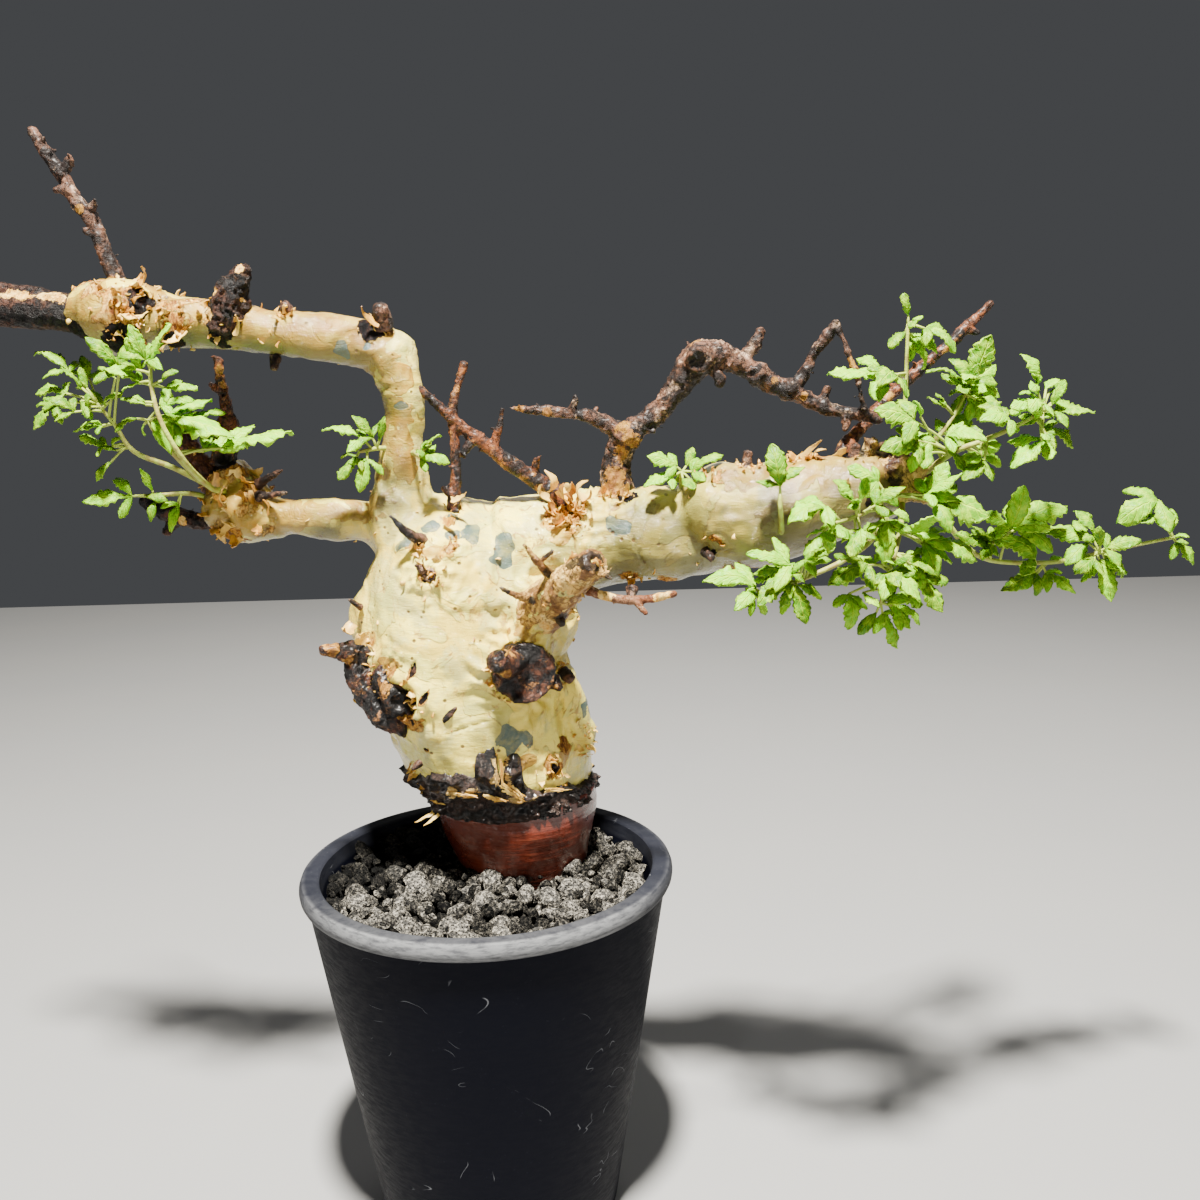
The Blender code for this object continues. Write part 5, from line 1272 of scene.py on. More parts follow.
def skin_look(s):
    """Wet papery skin: cream and amber layers, grey-green windows, pits and torn edges, and dark
    grey-green patches that are partly painted shade.
    """
    place = s.place()
    soft = s.noise(place, 30.0, 3.0, 0.55, 0.4)
    veil = s.noise(place, 44.0, 5.0, 0.65, 0.8)
    layer = s.noise(place, 58.0, 4.0, 0.5, 1.0)
    mottle = s.noise(place, 150.0, 6.0, 0.7, 0.4)
    streak = s.noise(s.stretch(place, (1.6, 1.6, 0.4), (0.2, 0.3, 0)), 210.0, 6.0, 0.7, 1.4)
    wrinkle = s.noise(s.stretch(place, (0.5, 0.5, 3.0)), 260.0, 3.0, 0.55, 1.2)
    wet = s.noise(s.stretch(place, (0.6, 0.6, 1.8), (0, 0.5, 0)), 330.0, 4.0, 0.6, 1.0)
    fine = s.noise(s.stretch(place, (1, 1, 2.2)), 520.0, 5.0, 0.65, 0.5)
    fibre = s.noise(s.stretch(place, (1, 1, 0.35)), 520.0, 6.0, 0.75, 0.7)
    edge = s.band(layer, 0.515, 0.54) * s.band(layer, 0.575, 0.55)
    amber = s.ragged("amber", layer, 0.35, 0.45, 0.5) * s.band(mottle, 0.3, 0.6, 0.55, 0.95)
    window = s.ragged("window", layer, 0.3, 0.42, 0.47)
    chosen = s.band(s.noise(place, 70.0, 1.0), 0.42, 0.5)
    pit = s.band(s.cells(place, 165.0), 0.07, 0.16, 1.0, 0.0) * chosen
    torn = s.ragged("rust", mottle, 0.4, 0.42, 0.6)
    char = s.ragged("char", mottle, 0.4, 0.4, 0.55)
    rust = s.mix(s.band(fibre, 0.4, 0.6), RUST_DEEP, RUST_LIGHT)
    colour = s.laid(
        CREAM_DEEP,
        (s.band(soft, 0.38, 0.62), CREAM_PALE),
        (s.band(veil, 0.46, 0.6, 0.0, 0.75), CREAM_GREY),
        (s.band(layer, 0.53, 0.56, 0.0, 0.5), CREAM_GREEN),
        (s.band(streak, 0.56, 0.68, 0.0, 0.55), CREAM_OCHRE),
        (s.band(mottle, 0.55, 0.72, 0.0, 0.5), CREAM_OCHRE),
        (s.band(fine, 0.56, 0.75, 0.0, 0.35), CREAM_OCHRE),
        (edge * s.band(mottle, 0.45, 0.6, 0.1, 0.75), PEEL_EDGE),
        (amber, s.mix(s.band(soft, 0.4, 0.6), AMBER_DEEP, AMBER_LIGHT)),
        # dark grey-green: partly the skin's own tone, partly painted shade on undersides
        (s.value("olive") * s.band(soft, 0.3, 0.7, 0.7, 1.0), SKIN_OLIVE_AND_SHADE),
        (window * s.band(mottle, 0.3, 0.6, 0.7, 1.0), WINDOW_BLUE),
        (0.9 * pit, PIT_BROWN),
        (torn, s.mix(s.band(mottle, 0.52, 0.66, 0.0, 0.7), rust, TORN_PALE)),
        (char, s.mix(s.band(fibre, 0.48, 0.7), CHAR_BLACK, CHAR_BROWN)),
    )
    broken = s.most(torn, char)
    height = s.band(layer, 0.535, 0.565, 0.0, 0.45) + 0.5 * fine + 0.45 * wrinkle + 0.5 * amber
    height = height - (pit + 0.4 * window) + broken * (3.5 * fibre)
    return {
        "Base Color": colour, "Roughness": s.band(mottle, 0.35, 0.7, 0.24, 0.42) + 0.35 * broken,
        "Normal": s.bump(height, 0.4), "Specular IOR Level": 0.1,
        "Coat Weight": s.band(broken, 0.0, 0.6, 0.8, 0.05), "Coat Roughness": 0.05,
        "Coat Normal": s.bump(wet + 0.5 * fine, 0.8),
        "Subsurface Weight": 0.05, "Subsurface Scale": 0.004,
    }


def bark_look(scale, dark, middle, light, relief, coat=0.0, torn=(RUST_LIGHT, TORN_PALE)):
    """Weathered bark in three tones, with its torn places in two more."""
    def build(s):
        place = s.place()
        bark = s.group(ROUGH_BARK, Place=place, Scale=scale, Dark=dark, Middle=middle, Light=light)
        fibre = s.group(
            FIBRES, Place=s.stretch(place, (1, 1, 0.4)), Scale=scale * 1.4, Dark=dark, Light=light,
        )["Height"]
        ragged = s.band(s.noise(place, scale, 6.0, 0.75, 0.5), 0.32, 0.68, -0.5, 0.5)
        pale = s.band(s.value("pale") + ragged, 0.5, 0.62)
        black = s.band(s.value("black") + ragged, 0.45, 0.6)
        colour = s.laid(
            bark["Colour"], (pale, s.mix(s.band(fibre, 0.4, 0.65), *torn)), (0.9 * black, CHAR_BLACK),
        )
        return {
            "Base Color": colour, "Roughness": bark["Roughness"],
            "Normal": s.bump(bark["Height"] + 0.5 * fibre, relief), "Coat Weight": coat,
            "Coat Roughness": 0.3, "Specular IOR Level": 0.22,
        }
    return build


def flake_look(s):
    """Papery bark: orange to cream, a flake at a time, and darker at its tip."""
    fibre = s.group(
        FIBRES, Place=s.stretch(s.place(), (1, 1, 0.45)), Scale=420.0, Dark=FLAKE_DEEP, Light=FLAKE_LIGHT,
    )
    colour = s.laid(
        fibre["Colour"],
        (s.band(s.value("tone"), 0.3, 0.7), s.mix(0.5, fibre["Colour"], FLAKE_CREAM)),
        (s.band(s.value("tip"), 0.6, 1.0, 0.0, 0.5), FLAKE_DEEP),
    )
    return {
        "Base Color": colour, "Roughness": 0.5, "Normal": s.bump(fibre["Height"], 0.25),
        "Coat Weight": 0.15, "Coat Roughness": 0.3,
    }


def leaf_look(s):
    """Leaves in a green with pale veins and margins, and stems from green to brown."""
    place = s.place()
    across = abs(s.value("across"))
    stem = s.value("stem")
    mottle = s.noise(place, 380.0, 4.0, 0.6)
    vein = s.maths("FRACT", (s.value("along") - 0.26 * across) * 5.5)
    vein = s.band(abs(vein - 0.5), 0.36, 0.5)
    lines = s.most(s.band(across, 0.0, 0.1, 1.0, 0.0), 0.55 * vein)
    lines = s.most(lines, s.band(across, 0.84, 1.0, 0.0, 0.55))
    bark = s.noise(s.stretch(place, (1, 1, 0.5)), 300.0, 4.0)
    wood = s.mix(s.band(bark, 0.4, 0.65), STEM_GREEN, STEM_BROWN)
    colour = s.laid(
        LEAF_DEEP,
        (s.band(s.value("tone"), 0.0, 0.8, 0.15, 1.0), LEAF_LIGHT),
        (s.band(mottle, 0.4, 0.7, 0.0, 0.5), LEAF_YELLOW),
        (0.6 * lines * (1.0 - stem), LEAF_VEIN),
        (stem, s.mix(s.value("age"), STEM_GREEN, wood)),
    )
    return {
        "Base Color": colour, "Roughness": s.band(mottle, 0.3, 0.7, 0.34, 0.55),
        "Normal": s.bump(-0.6 * lines + mottle, 0.6), "Specular IOR Level": 0.2,
    }


def pot_look(s):
    """Matt black plastic with scuffs, specks and scratches, and a painted highlight on the rim's lip,
    strongest at the front.
    """
    place = s.place()
    x, y, z = s.axes(place)
    scuffs = s.noise(s.stretch(place, (1, 1, 5.0)), 160.0, 5.0, 0.7, 0.2)
    chosen = s.band(s.noise(place, 60.0, 2.0), 0.5, 0.62)
    speck = s.band(s.cells(place, 420.0), 0.1, 0.2, 1.0, 0.0) * chosen
    soft = s.noise(place, 30.0, 4.0, 0.6)
    rim = s.band(z, 0.1424, 0.1446)
    dust = rim * s.band(soft, 0.2, 0.7, 0.3, 0.85) + s.band(scuffs, 0.55, 0.8, 0.0, 0.25)
    dust = s.maths("MINIMUM", dust + 0.35 * speck, 1.0)
    # Painted highlight on the rim's lip: strongest at the front, broken by scuffs and specks
    painted_highlight = s.band(y, -0.066, -0.020, 1.0, 0.16) * s.band(scuffs, 0.3, 0.62, 0.35, 1.0)
    painted_highlight = s.most(painted_highlight, 0.6 * speck)
    lip = s.band(x * x + y * y, RIM_EDGE[0] ** 2, RIM_EDGE[1] ** 2, 0.3, 1.0)
    line = s.noise(s.stretch(place, (1, 1, 1.6), (0.4, 0.2, 0)), 34.0, 2.0, 0.4, 1.0)
    line = s.band(abs(line - 0.5), 0.0015, 0.004, 1.0, 0.0)
    line = line * s.band(s.noise(place, 75.0, 2.0), 0.57, 0.66)
    colour = s.laid(
        POT_BLACK, (dust, POT_DUST), (rim * lip * painted_highlight, POT_RIM_HIGHLIGHT), (0.8 * line, POT_SCRATCH),
    )
    relief = 0.4 * scuffs + s.noise(place, 900.0, 3.0, 0.6)
    return {
        "Base Color": colour, "Roughness": s.band(scuffs, 0.3, 0.75, 0.45, 0.68),
        "Normal": s.bump(relief, 0.05), "Specular IOR Level": 0.04,
    }


def lava_look(s):
    """Porous lava: black in the pores, grey to brown on the worn outsides, a grain at a time, and a
    painted shadow over the grains to the left and back.
    """
    place = s.place()
    x, y, _ = s.axes(place)
    tone = s.value("tone")
    grain = s.noise(place, 800.0, 5.0, 0.7)
    hole = s.band(s.cells(place, 1050.0), 0.15, 0.45, 1.0, 0.0)
    worn = s.band(grain, 0.45, 0.68) * s.band(tone, 0.1, 0.9, 0.06, 0.95)
    # The grains towards the left and back get a painted shadow, in black
    colour = s.laid(
        LAVA_BLACK, (s.band(tone, 0.2, 0.95), LAVA_GREY), (worn, LAVA_TAN),
        (s.band(x - y, -0.048, -0.020, 0.88, 0.0), LAVA_BLACK), (0.75 * hole, LAVA_BLACK),
    )
    return {
        "Base Color": colour, "Roughness": 0.95, "Normal": s.bump(grain - hole, 0.8),
        "Specular IOR Level": 0.08,
    }


def crown_look(s):
    """Glossy red-brown bark with fine lines round it and streaks, darker towards its foot."""
    place = s.place()
    lines = s.noise(s.stretch(place, (1, 1, 9.0)), 90.0, 5.0, 0.65, 0.3)
    soft = s.noise(place, 55.0, 4.0, 0.6, 0.4)
    colour = s.laid(
        CROWN_DEEP, (s.band(soft, 0.3, 0.68), CROWN_RED),
        (s.band(lines, 0.55, 0.75, 0.0, 0.65), CROWN_BRIGHT),
        (s.band(lines, 0.25, 0.42, 0.7, 0.0), CROWN_DARK),
        (s.band(s.axes(place)[2], 0.1445, 0.1495, 0.55, 0.0), CROWN_DARK),
    )
    return {
        "Base Color": colour, "Roughness": s.band(soft, 0.3, 0.7, 0.2, 0.38),
        "Normal": s.bump(lines + soft, 0.3), "Coat Weight": 0.6, "Coat Roughness": 0.14,
    }


def old_bark_look(s):
    """Black blocky bark with brown edges, and tan fibres where it has torn."""
    place = s.place()
    bark = s.group(
        ROUGH_BARK, Place=place, Scale=300.0, Dark=CHAR_BLACK, Middle=BARK_BROWN, Light=BARK_GREY,
    )
    fibre = s.noise(s.stretch(place, (0.5, 0.5, 2.2)), 420.0, 5.0, 0.7, 0.5)
    torn = s.band(s.value("torn") + s.band(fibre, 0.35, 0.65, -0.25, 0.25), 0.3, 0.5)
    colour = s.mix(torn, bark["Colour"], s.mix(s.band(fibre, 0.4, 0.6), RUST_LIGHT, TORN_PALE))
    return {
        "Base Color": colour, "Roughness": s.band(fibre, 0.3, 0.7, 0.45, 0.85),
        "Normal": s.bump(bark["Height"] + fibre, 0.7), "Coat Weight": 0.4, "Coat Roughness": 0.2,
        "Specular IOR Level": 0.3,
    }


def floor_look(s):
    soft = s.noise(s.place(), 6.0, 4.0, 0.6)
    return {"Base Color": s.mix(soft, FLOOR_PALE, FLOOR_WARM), "Roughness": 0.75}


# The trunk's skin


def crater(points, normals, spot, radius, depth, rim):
    """A hollow with a swollen lip, as where a branch was cut and the skin closed round it."""
    far = apart(points, spot)
    inside = np.clip(1 - far / radius, 0, 1)
    lip = np.exp(-(((far - radius * 1.15) / (radius * 0.35)) ** 2))
    return points + normals * (lip * rim - np.sqrt(inside) * depth)[:, None]


def lens(points, spot, way, facing, length, width):
    """How far each point is from a lens-shaped mark, as a share of the mark's own size."""
    out = unit(facing)
    aside = points - np.array(spot)
    deep = aside @ out
    aside = aside - deep[:, None] * out
    along = aside @ unit(way)
    over = np.linalg.norm(aside - along[:, None] * unit(way), axis=1)
    return np.sqrt((along / length) ** 2 + (over / width) ** 2) + (np.abs(deep) > 8) * 9


def ripples(points, spot, start, length, size, reach):
    """Folds of skin in rings round a spot."""
    far = apart(points, spot)
    fade = np.exp(-np.clip(far - start, 0, None) / reach) * (far > start * 0.8)
    drift = 3.0 * clouds(points, 8, 41) + 1.4 * clouds(points, 3.5, 42)
    broken = np.clip(0.55 + 0.7 * clouds(points, 6, 43), 0, 1)
    return np.cos(math.tau * (far + drift - start) / length) * fade * size * broken


def pleats(points, origin, axis, count, start, reach, size):
    """Folds that run along an axis and stand round it, as where a branch leaves the trunk."""
    axis = unit(axis)
    side = unit(np.cross(axis, (0.3, 0.5, 0.8)))
    way = points - np.array(origin)
    along = way @ axis
    radial = np.linalg.norm(way - along[:, None] * axis, axis=1)
    turn = np.arctan2(way @ np.cross(axis, side), way @ side) + 0.3 * clouds(points, 11, 46)
    fade = np.exp(-((radial - start) / reach) ** 2) * np.exp(-((along / (reach + 5)) ** 2))
    crest = 1 - 2 * np.abs(np.sin(0.5 * count * turn + 1.5 * clouds(points, 7, 47)))
    return size * crest * fade


def valleys(points, size, flat, seed, width):
    """Crooked lines from 0 to 1, where a noise with flattened bumps crosses zero."""
    return np.exp(-((clouds(points * (1, 1, flat), size, seed) / width) ** 2))


def make_trunk():
    form = Form()
    for limb in (TRUNK, RIGHT_LIMB, UPPER_ARM, LOWER_ARM, LOWER_ARM_STUB, FRONT_BRANCH):
        rod(form, limb, sides=24, step=3)
    for *spot, radius in TRUNK_LUMPS:
        ball(form, spot, radius)
    rod(form, RIGHT_RIDGE, sides=24, step=3)
    trunk = fused("trunk_skin", form, TRUNK_VOXEL, softness=8)
    mesh = trunk.data
    points = spots_of(mesh)
    normals = normals_of(mesh)
    creased = near(points, CREASED, 0.8, 4.0)
    lift = 2.0 * clouds(points, 17, 1) + 0.6 * clouds(points, 8, 2)
    lift += (0.12 + 0.6 * creased) * clouds(points, 3.6, 3)
    lift -= (0.15 + 0.9 * creased) * valleys(points, 9, 0.6, 44, 0.13)
    lift -= (0.05 + 0.5 * creased) * valleys(points, 4.5, 0.5, 45, 0.14)
    lift *= np.maximum(ramp(points[:, 2], 176, 14), 0.2)
    for fold in FOLDS:
        lift += ripples(points, *fold)
    layers = clouds(points, 15, 4) + 0.5 * clouds(points, 6, 6)
    lift += 0.45 * np.tanh(layers * 7)
    char = near(points, CHAR_SPOTS, 0.3)
    rust = near(points, RUST_SPOTS, 0.6, 3.0)
    for *mark, width, brown in LENSES:
        far = lens(points, *mark, width) + 0.15 * clouds(points, 2, 48)
        lift += 0.5 * width * np.exp(-(((far - 1.4) / 0.4) ** 2)) - width * np.sqrt(np.clip(1 - far, 0, 1))
        char = np.maximum(char, brown * ramp(-far, -1.1, 0.25))
        rust = np.maximum(rust, brown * 0.8 * ramp(-far, -1.6, 0.5))
    torn = np.maximum(char, rust)
    lift += torn * (0.8 * clouds(points, 2.4, 7) + 0.5 * clouds(points, 1.3, 8))
    for pleat in PLEATS:
        lift += pleats(points, *pleat)
    points = points + normals * lift[:, None]
    points[:, 0] += SLIMMER * (ramp(-points[:, 2], -226, 22) * ramp(-points[:, 0], 5, 25))
    for hollow in CRATERS:
        points = crater(points, normals, *hollow)
    move_to(mesh, points)
    x, _, z = points.T
    # Painted shade: the limb and the arms, and the trunk where it faces down, are darkened to a dark
    # grey-green, most on their undersides.
    arms = ramp(-x, 20, 10) * ramp(z, 284, 10)
    outer = ramp(x, 44, 18) + 0.5 * arms
    turned_down = -normals[:, 2]
    under = outer * np.clip(1.05 + 0.6 * turned_down, 0.4, 1.3)
    under += (1 - outer) * np.clip(0.9 * turned_down - 0.15, 0, 0.6)
    under *= 1 + 0.35 * clouds(points, 9, 49)
    golden = 0.55 * arms + 0.5 * ramp(x, 90, 20)
    masks = {
        "char": char, "rust": rust, "window": near(points, WINDOWS, 0.9, 3.0),
        "olive": np.clip(near(points, OLIVE_AND_SHADE_SPOTS, 1.0, 2.0) * 0.8 + under, 0, 1),
        "amber": np.clip(near(points, AMBER_SPOTS, 0.9, 3.0) + golden, 0, 1),
        "peel": np.clip(near(points, PEEL_SPOTS, 0.8, 3.0), 0.025, 1),
    }
    for key, values in masks.items():
        store(mesh, key, values)
    return trunk


def make_wood(name, limbs, lumps, voxel, relief, spurs, seed, end=ROUND_END):
    """Dark wood with rugged bark, short spurs along its limbs, and torn pale places."""
    draw = random.Random(seed)
    form = Form()
    for limb in limbs:
        rod(form, limb, 16, 2, end)
        rows = route(limb, 1)
        for _ in range(round(spurs * len(rows) / 100)):
            row = rows[draw.randrange(len(rows) // 6, len(rows))]
            way = unit([draw.uniform(-1, 1), draw.uniform(-1, 1), draw.uniform(-0.6, 1)])
            root = row[:3] + way * row[3] * 0.6
            reach = row[3] * 0.5 + draw.uniform(0.8, 2.6)
            tip = root + way * reach
            rod(form, ((*root, min(row[3] * 0.5, 1.5)), (*tip, 0.3)), sides=8, step=2)
    for *spot, radius in lumps:
        ball(form, spot, radius)
    wood = fused(name, form, voxel, softness=3)
    mesh = wood.data
    points = spots_of(mesh)
    normals = normals_of(mesh)
    ridge = 1 - 2 * np.abs(clouds(points, 2.9, seed)) - np.abs(clouds(points, 1.7, seed + 4))
    wide = clouds(points, 8, seed + 2) + 0.6 * clouds(points, 4.2, seed + 3)
    lift = relief * (0.55 * ridge + 0.45 * clouds(points, 1.1, seed + 1) + 1.0 * wide)
    points = points + normals * (lift - 0.2 * relief)[:, None]
    node = name.removesuffix("_bark")
    for hollow in HOLLOWS.get(node, ()):
        points = crater(points, normals, *hollow)
    move_to(mesh, points)
    store(mesh, "pale", 1.25 * near(points, PALE_SPOTS.get(node, ()), 0.7, 1.6))
    store(mesh, "black", near(points, BLACK_SPOTS.get(node, ()), 0.5, 1.8))
    return wood


# Flakes and leaves


def curl(form, root, end, width, turn, draw, thickness=0.3, rows=8, columns=4, facing=None):
    """A strip of papery bark that starts flat at its root and curls up towards its end."""
    if facing is None:
        facing = unit([draw.uniform(-0.5, 0.5), -1, 0.6 + draw.uniform(-0.4, 0.4)])
    root = np.array(root, float)
    along = np.array(end, float) - root
    length = float(np.linalg.norm(along))
    along = unit(along)
    side = unit(np.cross(along, facing))
    up = np.cross(side, along)
    t = np.linspace(0, 1, rows)
    bend = turn * t
    step = length / (rows - 1)
    forward = np.concatenate([[0], np.cumsum(np.cos(bend[:-1]) * step)]) - length * 0.25
    rise = np.concatenate([[0], np.cumsum(np.sin(bend[:-1]) * step)]) - 0.4
    half = width / 2 * draws(draw, rows, 2, 0.45, 1.2) * np.clip(1.08 - t**2.2, 0.1, 1)[:, None]
    v = np.linspace(-1, 1, columns)
    cup = draw.uniform(-0.35, 0.5)
    spine = root + forward[:, None] * along + rise[:, None] * up
    across = np.where(v < 0, half[:, :1], half[:, 1:]) * v
    grid = spine[:, None, :] + across[..., None] * side
    grid = grid + (cup * np.abs(across * v))[..., None] * up
    grid = grid + (draws(draw, rows, columns) * 0.2 * width / 4)[..., None] * up
    grid = grid + (draws(draw, rows, columns) * 0.25 * width / 4)[..., None] * along
    sheet(form, grid, thickness, tone=draw.random(), tip=t[:, None])


def any_way(draw):
    return unit([draw.gauss(0, 1) for _ in range(3)])


def touching(skin, spot):
    """The skin's point nearest to a spot, and the way that the skin faces there."""
    place, normal, _, _ = skin.find_nearest(Vector(spot) * MM)
    return np.array(place) / MM, np.array(normal)


def peeling(form, skin, spot, radius, count, length, draw):
    """Curls of bark rooted on the skin round a spot, standing off it in all directions."""
    for _ in range(count):
        aside = any_way(draw) * radius * draw.random() ** 0.5
        root, normal = touching(skin, spot + aside)
        tangent = unit(np.cross(normal, any_way(draw)))
        way = unit(tangent + normal * draw.uniform(0.15, 0.9))
        reach = length * draw.uniform(0.5, 1.2)
        width = reach * draw.uniform(0.4, 0.85)
        curl(form, root, root + way * reach, width, draw.uniform(0.5, 2.8), draw, facing=normal)


def strand(form, skin, start, end, spread, draw):
    """A thin torn fibre that lies on the old bark somewhere between two points."""
    first = draw.uniform(0, 0.6)
    spots = []
    for share in (first, first + draw.uniform(0.3, 0.5)):
        shift = draws(draw, 1, 3, -spread, spread)[0]
        spot, normal = touching(skin, np.array(start) + share * (np.array(end, float) - start) + shift)
        spots.append(spot + normal * STRAND_PROUD)
    curl(form, *spots, draw.uniform(0.5, 1.1), draw.uniform(0, 0.6), draw, facing=normal)


def leaflet(form, base, tip, facing, width, rows, columns, tone, draw):
    """One crinkled leaflet with a round-toothed margin, as a thin closed sheet."""
    axis = tip - base
    length = float(np.linalg.norm(axis))
    axis = unit(axis)
    side = unit(np.cross(axis, facing))
    normal = np.cross(side, axis)
    t = np.linspace(0, 1, rows)[:, None]
    v = np.linspace(-1, 1, columns)
    shape = np.sin(np.pi * t**1.22) ** 0.8
    teeth = 1 - LEAF_TEETH * np.abs(np.cos(np.pi * (LEAF_TOOTH_COUNT * t + draw.random()))) ** 3
    half = width * length * np.maximum(shape * teeth, 0) + 0.12
    bend = draw.uniform(*LEAF_ARCHES)
    fold = draw.uniform(*LEAF_FOLDS)
    twist = draw.uniform(-0.5, 0.5)
    wave = draw.uniform(0, math.tau)
    across = half * v
    out = np.abs(v)
    lift = bend * length * 4 * (t * (1 - t)) - 0.5 * bend * length * (t**2)
    lift = lift - fold * np.abs(across)
    lift = lift + twist * across * t
    lift = lift + 0.035 * length * np.cos(math.tau * (5.5 * (t - 0.26 * out))) * out * shape
    lift = lift + 0.05 * length * np.sin(math.tau * 1.6 * t + wave) * (v**2) * v
    lift = lift + draws(draw, rows, columns) * 0.022 * length
    grid = base + (t * length)[..., None] * axis + across[..., None] * side + lift[..., None] * normal
    sheet(form, grid, LEAF_THICKNESS, along=t, across=v, tone=tone)


def covers_knot(tip):
    """True for a leaf's tip that would hide the lower arm's knot."""
    return any(math.hypot(tip[0] - x, tip[2] - z) < radius for x, z, radius in KEPT_CLEAR)


def leaf(form, root, joint, tip, facing, draw, slim):
    """A stalk with a middle leaflet and, on all but the youngest, two side leaflets."""
    axis = tip - joint
    length = float(np.linalg.norm(axis))
    axis = unit(axis)
    tone = draw.random()
    middle = (root + joint) / 2 + np.array((0, 0, 0.04 * np.linalg.norm(joint - root)))
    stalk = ((*root, 0.6), (*middle, 0.5), (*joint, 0.45))
    rod(form, stalk, sides=6, step=3, stem=1.0, age=0.0, tone=tone)
    side = unit(np.cross(axis, facing))
    big = length >= YOUNG_LEAF
    width = slim * LEAF_WIDTH * draw.uniform(0.9, 1.15)
    rows = LEAF_ROWS if big else SMALL_LEAF_ROWS
    leaflet(form, joint, tip, facing, width, rows, LEAF_COLUMNS, tone, draw)
    for sign in (1, -1) if big else ():
        reach = length * draw.uniform(0.55, 0.78)
        way = unit(axis * draw.uniform(0.35, 0.75) + side * sign)
        end = joint + way * reach + np.array((0, 0, -0.06 * reach))
        if covers_knot(end):
            continue
        tilt = unit(facing + side * sign * draw.uniform(-0.1, 0.5))
        width = slim * LEAF_WIDTH * draw.uniform(0.85, 1.1)
        leaflet(form, joint, end, tilt, width, SMALL_LEAF_ROWS, SMALL_LEAF_COLUMNS, tone, draw)


def stalk_root(rows, joint, axis):
    """The point of the stem that a leaf's stalk grows from, so that it needs no sharp turn."""
    ways = joint - rows
    far = np.linalg.norm(ways, axis=1)
    cost = far * (1.7 - (ways @ axis) / np.maximum(far, 1e-6))
    cost[far <= 1.8] = np.inf
    return rows[int(np.argmin(cost))]


def make_shoot(name, stem, leaves, facing_draw, draw, extra):
    """A stem with its leaves, and with some more beside each of them."""
    form = Form()
    last = len(stem) - 1
    points = [(*point, STEM_RADIUS - STEM_TAPER * i / last) for i, point in enumerate(stem)]
    rod(form, points, sides=10, step=3, stem=1.0, age=0.7, tone=0.5)
    rows = route(points, 1)[2:, :3]
    grown = []
    for joint, tip in np.array(leaves, float):
        facing = unit([facing_draw.uniform(-0.35, 0.35), facing_draw.uniform(-0.9, -0.3), 0.75])
        grown.append((joint, tip, facing))
    for joint, tip, _ in list(grown):
        for _ in range(extra):
            way = tip - joint
            length = float(np.linalg.norm(way)) * draw.uniform(0.45, 0.85)
            root = stalk_root(rows, joint, unit(way))
            aside = unit([draw.uniform(-1, 1), draw.uniform(-1, 0.6), draw.uniform(-0.8, 1)])
            new_way = unit(unit(way) * 0.5 + aside)
            new_joint = root + (joint - root) * draw.uniform(0.4, 0.9) + aside * draw.uniform(1.5, 4)
            new_facing = unit([draw.uniform(-0.4, 0.4), draw.uniform(-0.9, -0.2), 0.75])
            new_tip = new_joint + new_way * length
            if not covers_knot(new_tip):
                grown.append((new_joint, new_tip, new_facing))
    for joint, tip, facing in grown:
        root = stalk_root(rows, joint, unit(tip - joint))
        leaf(form, root, joint, tip, facing, draw, SLIM_LEAF if "_left" in name else 1.0)
    return form.thing(name + "_leaves")


# The pot, the gravel, the crown and the old bark


def inner_radius(height):
    foot = POT_BASE_RADIUS - POT_WALL
    return foot + (POT_MOUTH_RADIUS - foot) * (height - POT_FLOOR) / (POT_HEIGHT - POT_FLOOR)


def make_pot():
    rim = [(POT_RIM_RADIUS - inwards, POT_HEIGHT - down) for inwards, down in POT_RIM_EDGE]
    flare = POT_NECK_RADIUS - POT_BASE_RADIUS
    rise = POT_HEIGHT - POT_LIP - POT_FOOT_EDGE
    wall = [(POT_BASE_RADIUS + flare * t, POT_FOOT_EDGE + rise * t) for t in np.linspace(1, 0, 12)]
    inside = [(inner_radius(h), h) for h in np.linspace(POT_FLOOR + 1.5, POT_HEIGHT - 0.8, 10)]
    profile = [
        (inner_radius(POT_FLOOR) - 1.5, POT_FLOOR), *inside, (POT_MOUTH_RADIUS + 0.5, POT_HEIGHT - 0.2),
        (POT_MOUTH_RADIUS + 1.2, POT_HEIGHT), (POT_TOP_RADIUS - 0.4, POT_HEIGHT), *rim, *wall,
        (POT_BASE_RADIUS - 0.5, 0.3), (POT_BASE_RADIUS - 1.4, 0),
    ]
    form = Form()
    turned(form, profile, POT_STEPS)
    pot = form.thing("pot_shell")
    drains = []
    for i in range(DRAIN_HOLES):
        turn = math.tau * (i + 0.5) / DRAIN_HOLES
        x = DRAIN_CIRCLE * math.cos(turn)
        y = DRAIN_CIRCLE * math.sin(turn)
        drain = Form()
        axis = ((x, y, -POT_FLOOR, DRAIN_RADIUS), (x, y, 2 * POT_FLOOR, DRAIN_RADIUS))
        rod(drain, axis, sides=32, step=20)
        drains.append(drain)
    cutters = shape_set("drain", drains)
    adjusted(
        pot.modifiers.new("Drains", "BOOLEAN"), operation="DIFFERENCE", solver="MANIFOLD",
        operand_type="COLLECTION", collection=cutters,
    )
    applied(pot)
    drop(cutters)
    return pot


def grain_form(draw):
    """A rough lump of lava with few faces, about 1 mm in radius before it is scaled."""
    form = Form()
    ball(form, (0, 0, 0), 1, detail=2)
    points = form.points[0]
    shift = draws(draw, 1, 3, -50, 50)
    dents = 1 + 0.34 * clouds(points + shift, 0.8, 11) + 0.26 * clouds(points + shift, 0.35, 12)
    squash = np.array([1, draw.uniform(0.7, 1), draw.uniform(0.6, 0.85)])
    form.points[0] = points * dents[:, None] * squash
    return form


